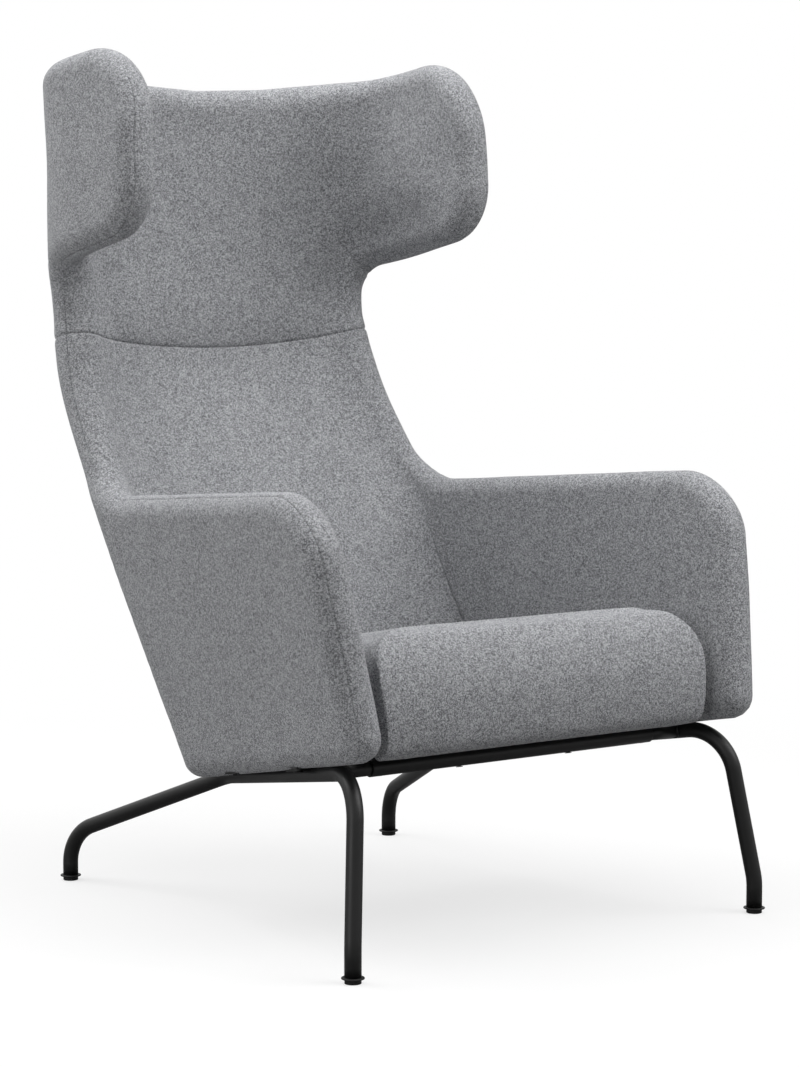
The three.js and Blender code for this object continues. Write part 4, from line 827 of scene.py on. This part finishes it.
outline = rounded_outline(OUTLINE_STEP)
neck = outline[outline[:, 0] <= NECK_REACH]
waist = neck[np.argmin(abs(neck[:, 1] - HEAD_SEAM_HEIGHT - HEAD_SEAM_RISE))]
waist_place = (waist[0], HEAD_SEAM_HEIGHT + HEAD_SEAM_RISE)
for target in (ARM_SEAM[0], ARM_SEAM[-1], waist_place, WING_DART[-1]):
    outline = insert_near(outline, target)
arm_bottom, arm_top, head_end = nearest(outline, (ARM_SEAM[0], ARM_SEAM[-1], waist_place))
arm_seam = smooth_line([outline[arm_bottom], *ARM_SEAM[1:-1], outline[arm_top]], OUTLINE_STEP)
shares = np.linspace(0, 1, round(outline[head_end][0] / OUTLINE_STEP) + 1)
head_seam = np.column_stack([shares * outline[head_end][0], head_seam_height(shares)])
wing_dart = resample(WING_DART, DART_STEP)
full_head_seam = np.vstack([mirror(head_seam)[:-1], head_seam])
seam_lines = [arm_seam, mirror(arm_seam), full_head_seam]
dart_lines = [wing_dart, mirror(wing_dart)]

# Each panel's border, in runs of padded edge and of seam
bottom_edge, arm_edge = outline[:arm_bottom + 1], outline[arm_bottom:arm_top + 1]
neck_edge, head_edge = outline[arm_top:head_end + 1], outline[head_end:]
PANELS = {
    "outer_cover": [("edge", np.vstack([outline, mirror(outline)[1:]]))],
    "back_cover": [
        ("edge", np.vstack([mirror(bottom_edge), bottom_edge[1:]])),
        ("seam", arm_seam),
        ("edge", neck_edge),
        ("seam", full_head_seam[::-1]),
        ("edge", mirror(neck_edge)),
        ("seam", mirror(arm_seam)),
    ],
    "head_cover": [("seam", full_head_seam), ("edge", np.vstack([head_edge, mirror(head_edge)[1:]]))],
    "right_arm_cover": [("edge", arm_edge), ("seam", arm_seam[::-1])],
    "left_arm_cover": [("edge", mirror(arm_edge)), ("seam", mirror(arm_seam)[::-1])],
}


def distance_to_lines(points, lines):
    """Distance from each point to the nearest of some polylines."""
    best = np.full(len(points), FAR)
    for line in lines:
        starts, ends = line[:-1], line[1:]
        edges = ends - starts
        squares = (edges ** 2).sum(1)
        for first in range(0, len(points), BLOCK):
            block = slice(first, first + BLOCK)
            offset = points[block, None] - starts[None]
            share = np.clip((offset * edges).sum(2) / squares, 0, 1)
            gap = np.linalg.norm(offset - share[:, :, None] * edges, axis=2).min(1)
            best[block] = np.minimum(best[block], gap)
    return best


def inside_polygon(points, polygon):
    inside = np.zeros(len(points), bool)
    for a, b in zip(polygon, np.roll(polygon, -1, 0)):
        if a[1] == b[1]:
            continue
        crosses = (a[1] > points[:, 1]) != (b[1] > points[:, 1])
        inside ^= crosses & (points[:, 0] < a[0] + (b[0] - a[0]) * (points[:, 1] - a[1]) / (b[1] - a[1]))
    return inside


def layer_points(line, polygon):
    """Points beside a seam, on the panel's side, at small distances from it."""
    tangent = unit(np.gradient(line, axis=0))
    aside = np.column_stack([-tangent[:, 1], tangent[:, 0]])[1:-1]
    points = np.vstack([line[1:-1] + way * distance * aside for distance in SEAM_LAYERS for way in (-1, 1)])
    return points[inside_polygon(points, polygon)]


def fill_points(polygon, edge_lines, own_seams):
    """Points inside a panel: an even grid, and rows beside its seams."""
    low, high = polygon.min(0), polygon.max(0)
    grid = []
    for row, z in enumerate(np.arange(low[1], high[1], SURFACE_STEP * math.sqrt(3) / 2)):
        us = np.arange(math.ceil(low[0] / SURFACE_STEP) * SURFACE_STEP, high[0], SURFACE_STEP)
        grid.append(np.column_stack([us + SURFACE_STEP / 2 * (row % 2), np.full(len(us), z)]))
    grid = np.vstack(grid)
    grid = grid[inside_polygon(grid, polygon)]
    grid = grid[distance_to_lines(grid, edge_lines) > SHEET_MARGIN]
    grid = grid[distance_to_lines(grid, own_seams) > SEAM_LAYERS[-1] + SURFACE_STEP / 3]
    beside = np.vstack([np.zeros((0, 2)), *[layer_points(line, polygon) for line in own_seams]])
    beside = beside[distance_to_lines(beside, edge_lines) > SEAM_LAYERS[0] * LAYER_MARGIN_SHARE]
    return np.vstack([grid, beside])


def bell(distance, width):
    return np.exp(-((distance / width) ** 2))


def surface_offset(flat, edge_distance=None):
    """How far the cover stands out: seams drawn in, a slight roll beside them, and a soft unevenness."""
    near = distance_to_lines(flat, seam_lines)
    u, z = flat.T
    wave = np.sin(u / WAVES_ROUND[0] + WAVE_PHASES[0]) * np.sin(z / WAVES_UP[0] + WAVE_PHASES[1])
    wave += WAVE_SHARES[0] * np.sin(u / WAVES_ROUND[1] + z / WAVES_UP[1] + WAVE_PHASES[2])
    wave += WAVE_SHARES[1] * np.sin(z / WAVES_UP[2] - u / WAVES_ROUND[2])
    drawn = -SEAM_DEPTH * bell(near, SEAM_WIDTH)
    puff = SEAM_PUFF * bell(near - SEAM_PUFF_REACH, SEAM_PUFF_WIDTH)
    pinch = -DART_DEPTH * bell(distance_to_lines(flat, dart_lines), DART_WIDTH)
    root_distance = np.min([np.hypot(abs(u) - across, z - height) for across, height in ROOTS], axis=0)
    away = smooth_ramp(root_distance, *ROOT_REACH)
    result = away * (drawn + puff) + pinch + SOFT_WAVE * wave * smooth_ramp(near, *WAVE_START)
    if edge_distance is not None:
        away *= 1 - smooth_ramp(z, *TOP_SEAM_FADE)
        result -= EDGE_SEAM_DEPTH * away * bell(edge_distance, EDGE_SEAM_WIDTH)
    return result


def head_pad_swell(flat, edge_distance):
    """How far the head pad bellies out between its seam and the top edge."""
    seam = head_seam_height(flat[:, 0] / outline[head_end][0])
    above = np.maximum(flat[:, 1] - seam, 0)
    share = np.minimum(above / (HEAD_PAD_TOP - seam), 1)
    belly = (1 - np.exp(-above / HEAD_PAD_RISE)) * (1 - share)
    return HEAD_PAD_SWELL * belly * smooth_ramp(edge_distance, 0, HEAD_PAD_FADE)


def edge_seam_angle(flat):
    """Angle round the padded edge at which the outer cover meets the inner ones."""
    u, z = abs(flat[:, 0]), flat[:, 1]
    neck = (1 - smooth_ramp(u, *SWELL_ACROSS)) * smooth_ramp(z, *NECK_SEAM_RISE)
    neck *= 1 - smooth_ramp(z, *NECK_SEAM_FALL)
    return EDGE_SEAM_ANGLE + (NECK_SEAM_ANGLE - EDGE_SEAM_ANGLE) * neck


loop = PANELS["outer_cover"][0][1][:-1]
loop_core, loop_normal, _ = core_of(loop)
loop_outward = unit(np.cross(np.roll(loop_core, -1, 0) - np.roll(loop_core, 1, 0), loop_normal))


def panel_mesh(runs, side):
    """Points, outward directions and faces of one cover panel with its share of the padded edge."""
    polygon = np.vstack([line[:-1] for _, line in runs])
    edge_lines = [line for kind, line in runs if kind == "edge"]
    own_seams = [line for kind, line in runs if kind == "seam"]
    if own_seams:
        own_seams += [dart for dart in dart_lines if inside_polygon(dart[[0, -1]], polygon).any()]
    flat = np.vstack([polygon, fill_points(polygon, edge_lines, own_seams)])
    count = len(polygon)
    border = [(i, (i + 1) % count) for i in range(count)]
    result = delaunay_2d_cdt([Vector(p) for p in flat], border, [list(range(count))], 1, MERGE_GAP)
    source = [ids[0] if ids else None for ids in result[3]]
    if None in source:
        flat = np.array([tuple(v) for v in result[0]])
        source = list(range(len(flat)))

    centre, normal, radius = core_of(flat)
    offset = surface_offset(flat)
    if side > 0:
        offset += head_pad_swell(flat, distance_to_lines(flat, edge_lines))
    out = side * normal
    all_points, all_out = [centre + out * (radius + offset)[:, None]], [out]
    faces = [[source[v] for v in face][::side] for face in result[2]]

    rings = INNER_RINGS if side > 0 else OUTER_RINGS
    next_id = len(flat)
    for line in edge_lines:
        closed = len(runs) == 1
        ring_flat = line[:-1] if closed else line
        count = len(ring_flat)
        core, up, reach = core_of(ring_flat)
        outward = loop_outward[nearest(loop, ring_flat)]
        seam = edge_seam_angle(ring_flat)
        whole = reach * abs(side * math.pi / 2 - seam)
        previous = nearest(polygon, ring_flat)
        stations = [np.full(count, start) for start in RING_STARTS]
        stations += [RING_STARTS[-1] + (whole - RING_STARTS[-1]) * k / rings for k in range(1, rings)]
        for distance in stations[::-1]:
            angle = seam + side * distance / reach
            way = outward * np.cos(angle)[:, None] + up * np.sin(angle)[:, None]
            push = surface_offset(ring_flat, float(np.mean(distance)))
            all_points.append(core + way * (reach + push)[:, None])
            all_out.append(way)
            current = list(range(next_id, next_id + count))
            next_id += count
            for k in range(count if closed else count - 1):
                m = (k + 1) % count
                faces.append((previous[k], current[k], current[m], previous[m])[::side])
            previous = current
    return np.vstack(all_points), np.vstack(all_out), faces


def thickened(points, out, faces, thickness):
    """The panel as a closed skin: its face, the same face set back, and a rim round its border."""
    offset = len(points)
    directed = {(f[i], f[(i + 1) % len(f)]) for f in faces for i in range(len(f))}
    rim = [(b, a, a + offset, b + offset) for a, b in directed if (b, a) not in directed]
    back = [tuple(i + offset for i in reversed(f)) for f in faces]
    return np.vstack([points, points - out * thickness]), [*faces, *back, *sorted(rim)], len(rim)


foams = [node for node in frame["nodes"] if node.endswith("_foam") and node != "seat_cushion_foam"]
for panel_name, runs in PANELS.items():
    side, hidden = (-1, foams) if panel_name == "outer_cover" else (1, [])
    points, out, faces = panel_mesh(runs, side)
    points, faces, rim = thickened(points, out, faces, FELT)
    cover = add_mesh(f"{panel_name}_felt", points, faces, rim)
    dress(cover, "felt", panel_name, *hidden)


# Seat cushion
def refined(shares):
    """A share table with smooth steps between its entries."""
    values = np.array(shares, float)
    padded = np.concatenate([[values[0]], values, [values[-1]]])
    fine = []
    for k in range(1, len(padded) - 2):
        a, b, c, d = padded[k - 1:k + 3]
        t = np.arange(LEVEL_STEPS) / LEVEL_STEPS
        bend, twist = 2 * a - 5 * b + 4 * c - d, 3 * b - a - 3 * c + d
        fine.append((2 * b + (c - a) * t + bend * t ** 2 + twist * t ** 3) / 2)
    return np.concatenate([*fine, [values[-1]]])


def rounded_quad(front, rear, front_half, rear_half, front_radius, rear_radius, edge_shares):
    """A ring of points round a four-sided outline with rounded corners."""
    corners = [(-front_half, front), (front_half, front), (rear_half, rear), (-rear_half, rear)]
    arcs = []
    for i, radius in enumerate((front_radius, front_radius, rear_radius, rear_radius)):
        *arms, turn = corner_arc(corners[i - 1], corners[i], corners[(i + 1) % 4], radius)
        arcs.append(arc_points(*arms, np.linspace(0, turn, CORNER_STEPS + 1)))
    ring = []
    for arc, after, shares in zip(arcs, arcs[1:] + arcs[:1], edge_shares):
        ring += [arc, arc[-1] + (after[0] - arc[-1]) * shares[:, None]]
    return np.vstack(ring)


def edge_steps():
    """Shares of each edge where columns stand: closer beside the front corners, where the end seams are."""
    side_length = CUSHION_FRONT + CUSHION_REAR - CUSHION_FRONT_RADIUS - CUSHION_REAR_RADIUS
    fine = np.arange(1, END_SEAM_COLUMNS) * END_SEAM_STEP
    rest = np.linspace(fine[-1], side_length, round((side_length - fine[-1]) / CUSHION_STEP))[1:-1]
    side_shares = np.concatenate([fine, rest]) / side_length
    front_count = round(2 * CUSHION_FRONT_HALF / CUSHION_STEP)
    rear_count = round(2 * CUSHION_REAR_HALF / CUSHION_STEP)
    return (np.arange(1, front_count) / front_count, side_shares,
            np.arange(1, rear_count) / rear_count, 1 - side_shares[::-1])


def cushion_mesh():
    """Points, in the rail plane, and faces of the cushion, from rings stacked up its height."""
    inset_tables = (CUSHION_FRONT_INSETS, CUSHION_SIDE_INSETS, CUSHION_REAR_INSETS)
    rise_tables = (CUSHION_FRONT_HEIGHTS, CUSHION_SIDE_HEIGHTS, CUSHION_REAR_HEIGHTS)
    front_rise, side_rise, rear_rise = (refined(table) for table in rise_tables)
    edge_shares = edge_steps()
    loops = []
    for front_in, side_in, rear_in in zip(*(refined(table) * CUSHION_INSET for table in inset_tables)):
        loops.append(rounded_quad(
            -CUSHION_FRONT + front_in, CUSHION_REAR - rear_in,
            CUSHION_FRONT_HALF - side_in, CUSHION_REAR_HALF - side_in,
            CUSHION_FRONT_RADIUS + side_in * FRONT_RADIUS_GAIN_SHARE,
            CUSHION_REAR_RADIUS - side_in * REAR_RADIUS_LOSS_SHARE, edge_shares))
    widest = loops[CUSHION_WIDEST * LEVEL_STEPS]
    tangent = unit(np.roll(widest, -1, 0) - np.roll(widest, 1, 0))
    side_share, end_share = tangent[:, 1] ** 2, tangent[:, 0] ** 2
    rings = []
    for level, ring in enumerate(loops):
        end_rise = np.where(widest[:, 1] < 0, front_rise[level], rear_rise[level])
        rise = side_share * side_rise[level] + end_share * end_rise
        rings.append(np.column_stack([ring, CUSHION_BOTTOM + rise * (CUSHION_TOP - CUSHION_BOTTOM)]))
    bottom, top = rings[0].mean(0), rings[-1].mean(0)
    bottom[2], top[2] = CUSHION_BOTTOM, CUSHION_TOP + CUSHION_CROWN
    below = [bottom + (rings[0] - bottom) * share for share in CORE_RING_SHARES[::-1]]
    above = [top + (rings[-1] - top) * share for share in CORE_RING_SHARES]
    rings = [*below, *rings, *above]
    count, tip = len(widest), len(rings) * len(widest)
    faces = tube_faces(len(rings), count) + tip_faces(tip, 0, count, -1)
    return np.vstack([*rings, bottom, top]), faces + tip_faces(tip + 1, tip - count, count, 1)


def swollen(points, faces):
    """Moves of the points under cloth pressure, read from a simulated copy of the cushion."""
    probe = add_mesh("cushion_probe", points, faces)
    probe.parent = None
    bpy.context.view_layer.objects.active = probe
    probe.select_set(True)
    remesh = probe.modifiers.new("even", "REMESH")
    remesh.mode = "VOXEL"
    remesh.voxel_size = CLOTH_VOXEL * MM
    bpy.ops.object.modifier_apply(modifier=remesh.name)
    rest = np.array([v.co[:] for v in probe.data.vertices])
    cloth = probe.modifiers.new("pressure", "CLOTH")
    cloth.settings.use_pressure = True
    cloth.settings.uniform_pressure_force = CLOTH_PRESSURE
    cloth.settings.effector_weights.gravity = 0
    cloth.settings.quality = CLOTH_QUALITY
    cloth.point_cache.frame_start = 1
    cloth.point_cache.frame_end = CLOTH_FRAMES
    for number in range(1, CLOTH_FRAMES + 1):
        bpy.context.scene.frame_set(number)
    seen = probe.evaluated_get(bpy.context.evaluated_depsgraph_get())
    moved = np.array([v.co[:] for v in seen.data.vertices]) - rest
    bpy.data.objects.remove(probe)
    bpy.context.scene.frame_set(1)
    lengths = np.linalg.norm(moved, axis=1)[:, None]
    moved *= np.minimum(1, CUSHION_SWELL_CAP * MM / np.maximum(lengths, TINY))
    tree = kdtree.KDTree(len(rest))
    for i, p in enumerate(rest):
        tree.insert(p, i)
    tree.balance()
    result = []
    for p in (points + [0, SHIFT_Y, 0]) * MM:
        near = tree.find_n(p, CLOTH_NEIGHBOURS)
        weights = np.array([1 / (d + CLOTH_VOXEL * MM) for _, _, d in near])
        result.append((weights[:, None] * moved[[i for _, i, _ in near]]).sum(0) / weights.sum())
    return np.array(result) / MM


def end_seams(flat_points):
    """Inward moves for the fine seams down the front of both end panels, in the rail plane."""
    x, along, above = flat_points.T
    upright = smooth_ramp(above, CUSHION_BOTTOM, CUSHION_BOTTOM + END_SEAM_START)
    upright *= 1 - smooth_ramp(above, END_SEAM_FADE, CUSHION_TOP - END_SEAM_TOP_MARGIN)
    from_front = along + CUSHION_FRONT
    narrowing = (CUSHION_FRONT_HALF - CUSHION_REAR_HALF) / (CUSHION_FRONT + CUSHION_REAR)
    inwards = CUSHION_FRONT_HALF - from_front * narrowing - abs(x)
    at_side = 1 - smooth_ramp(inwards, *END_SEAM_SIDE_REACH)
    depth = sum(bell(from_front - CUSHION_FRONT_RADIUS - place, END_SEAM_WIDTH) for place in END_SEAMS)
    return np.column_stack([-np.sign(x) * END_SEAM_DEPTH * depth * upright * at_side, 0 * x, 0 * x])


cushion_flat, cushion_faces = cushion_mesh()
cushion_points = from_rail_plane(cushion_flat)
moves = swollen(cushion_points, cushion_faces)
inwards = ((cushion_points - cushion_points.mean(0)) * moves).sum(1) < 0
moves[inwards] *= INWARD_SHARE
cushion_points = cushion_points + moves
cushion = add_mesh("seat_cushion_felt", cushion_points + end_seams(cushion_flat), cushion_faces)
dress(cushion, "felt", "seat_cushion_cover", "seat_cushion_foam", "seat_cushion_zip")

# Camera, floor, world and lamps
camera_data = bpy.data.cameras.new("camera")
camera_data.sensor_width = SENSOR
camera_data.lens = SENSOR * FOCAL_PIXELS / max(PHOTO_SIZE)
camera = add_object("camera", camera_data)
camera.location = (Vector(CAMERA_PLACE) + Vector((0, SHIFT_Y, 0))) * MM
camera.rotation_euler = (math.pi / 2 - CAMERA_ELEVATION, 0, CAMERA_AZIMUTH)
bpy.context.scene.camera = camera


def mix_shaders(tree, share, first, second, output):
    """The output's surface as a mix of two shaders."""
    mix = add_node(tree, "MixShader", {"Fac": share, 1: first, 2: second})
    set_inputs(tree, tree.nodes[output], {"Surface": mix.outputs["Shader"]})


def floor_material():
    """A matt floor that the camera sees fade to white away from the chair."""
    made, tree, shader, place = new_material("studio_floor")
    seen = add_node(tree, "LightPath", {}).outputs["Is Camera Ray"]
    tone = add_node(tree, "MapRange", {"Value": seen, "To Min": FLOOR_BOUNCE, "To Max": FLOOR_PALE})
    set_inputs(tree, shader, {"Base Color": tone.outputs[0], "Roughness": 1.0, "Specular IOR Level": 0.0})
    glow = add_node(tree, "Emission", {"Color": WHITE})
    length = add_node(tree, "VectorMath", {0: place}, operation="LENGTH")
    fade = add_node(tree, "MapRange", {
        "Value": length.outputs["Value"],
        "From Min": FADE_RADII[0],
        "From Max": FADE_RADII[1],
        "To Min": FLOOR_LIFT,
    }, interpolation_type="SMOOTHSTEP")
    share = calculate(tree, "MULTIPLY", fade.outputs["Result"], seen)
    mix_shaders(tree, share, shader.outputs["BSDF"], glow.outputs["Emission"], "Material Output")
    return made


floor_mesh = bpy.data.meshes.new("floor")
floor_corners = [(x * FLOOR_HALF, y * FLOOR_HALF, 0) for x, y in ((-1, -1), (1, -1), (1, 1), (-1, 1))]
floor_mesh.from_pydata(floor_corners, [], [(0, 1, 2, 3)])
floor_mesh.materials.append(floor_material())
add_object("floor", floor_mesh)

world = bpy.data.worlds.new("studio")
world.use_nodes = True
bpy.context.scene.world = world
tree = world.node_tree
plain = tree.nodes["Background"]
set_inputs(tree, plain, {"Color": WHITE, "Strength": WORLD_LIGHT})
white = add_node(tree, "Background", {"Color": WHITE, "Strength": 1.0})
rays = add_node(tree, "LightPath", {}).outputs
shown = calculate(tree, "MAXIMUM", rays["Is Camera Ray"], rays["Is Glossy Ray"])
shown = calculate(tree, "MAXIMUM", shown, rays["Is Transmission Ray"])
mix_shaders(tree, shown, plain.outputs["Background"], white.outputs["Background"], "World Output")

for name, place, size, power in LAMPS:
    lamp_data = bpy.data.lights.new(name, "AREA")
    lamp_data.shape = "SQUARE"
    lamp_data.size = size
    lamp_data.energy = power
    lamp = add_object(name, lamp_data)
    lamp.location = place
    lamp.rotation_euler = (LAMP_TARGET - Vector(place)).to_track_quat("-Z", "Y").to_euler()

bpy.context.scene.view_settings.view_transform = "Standard"
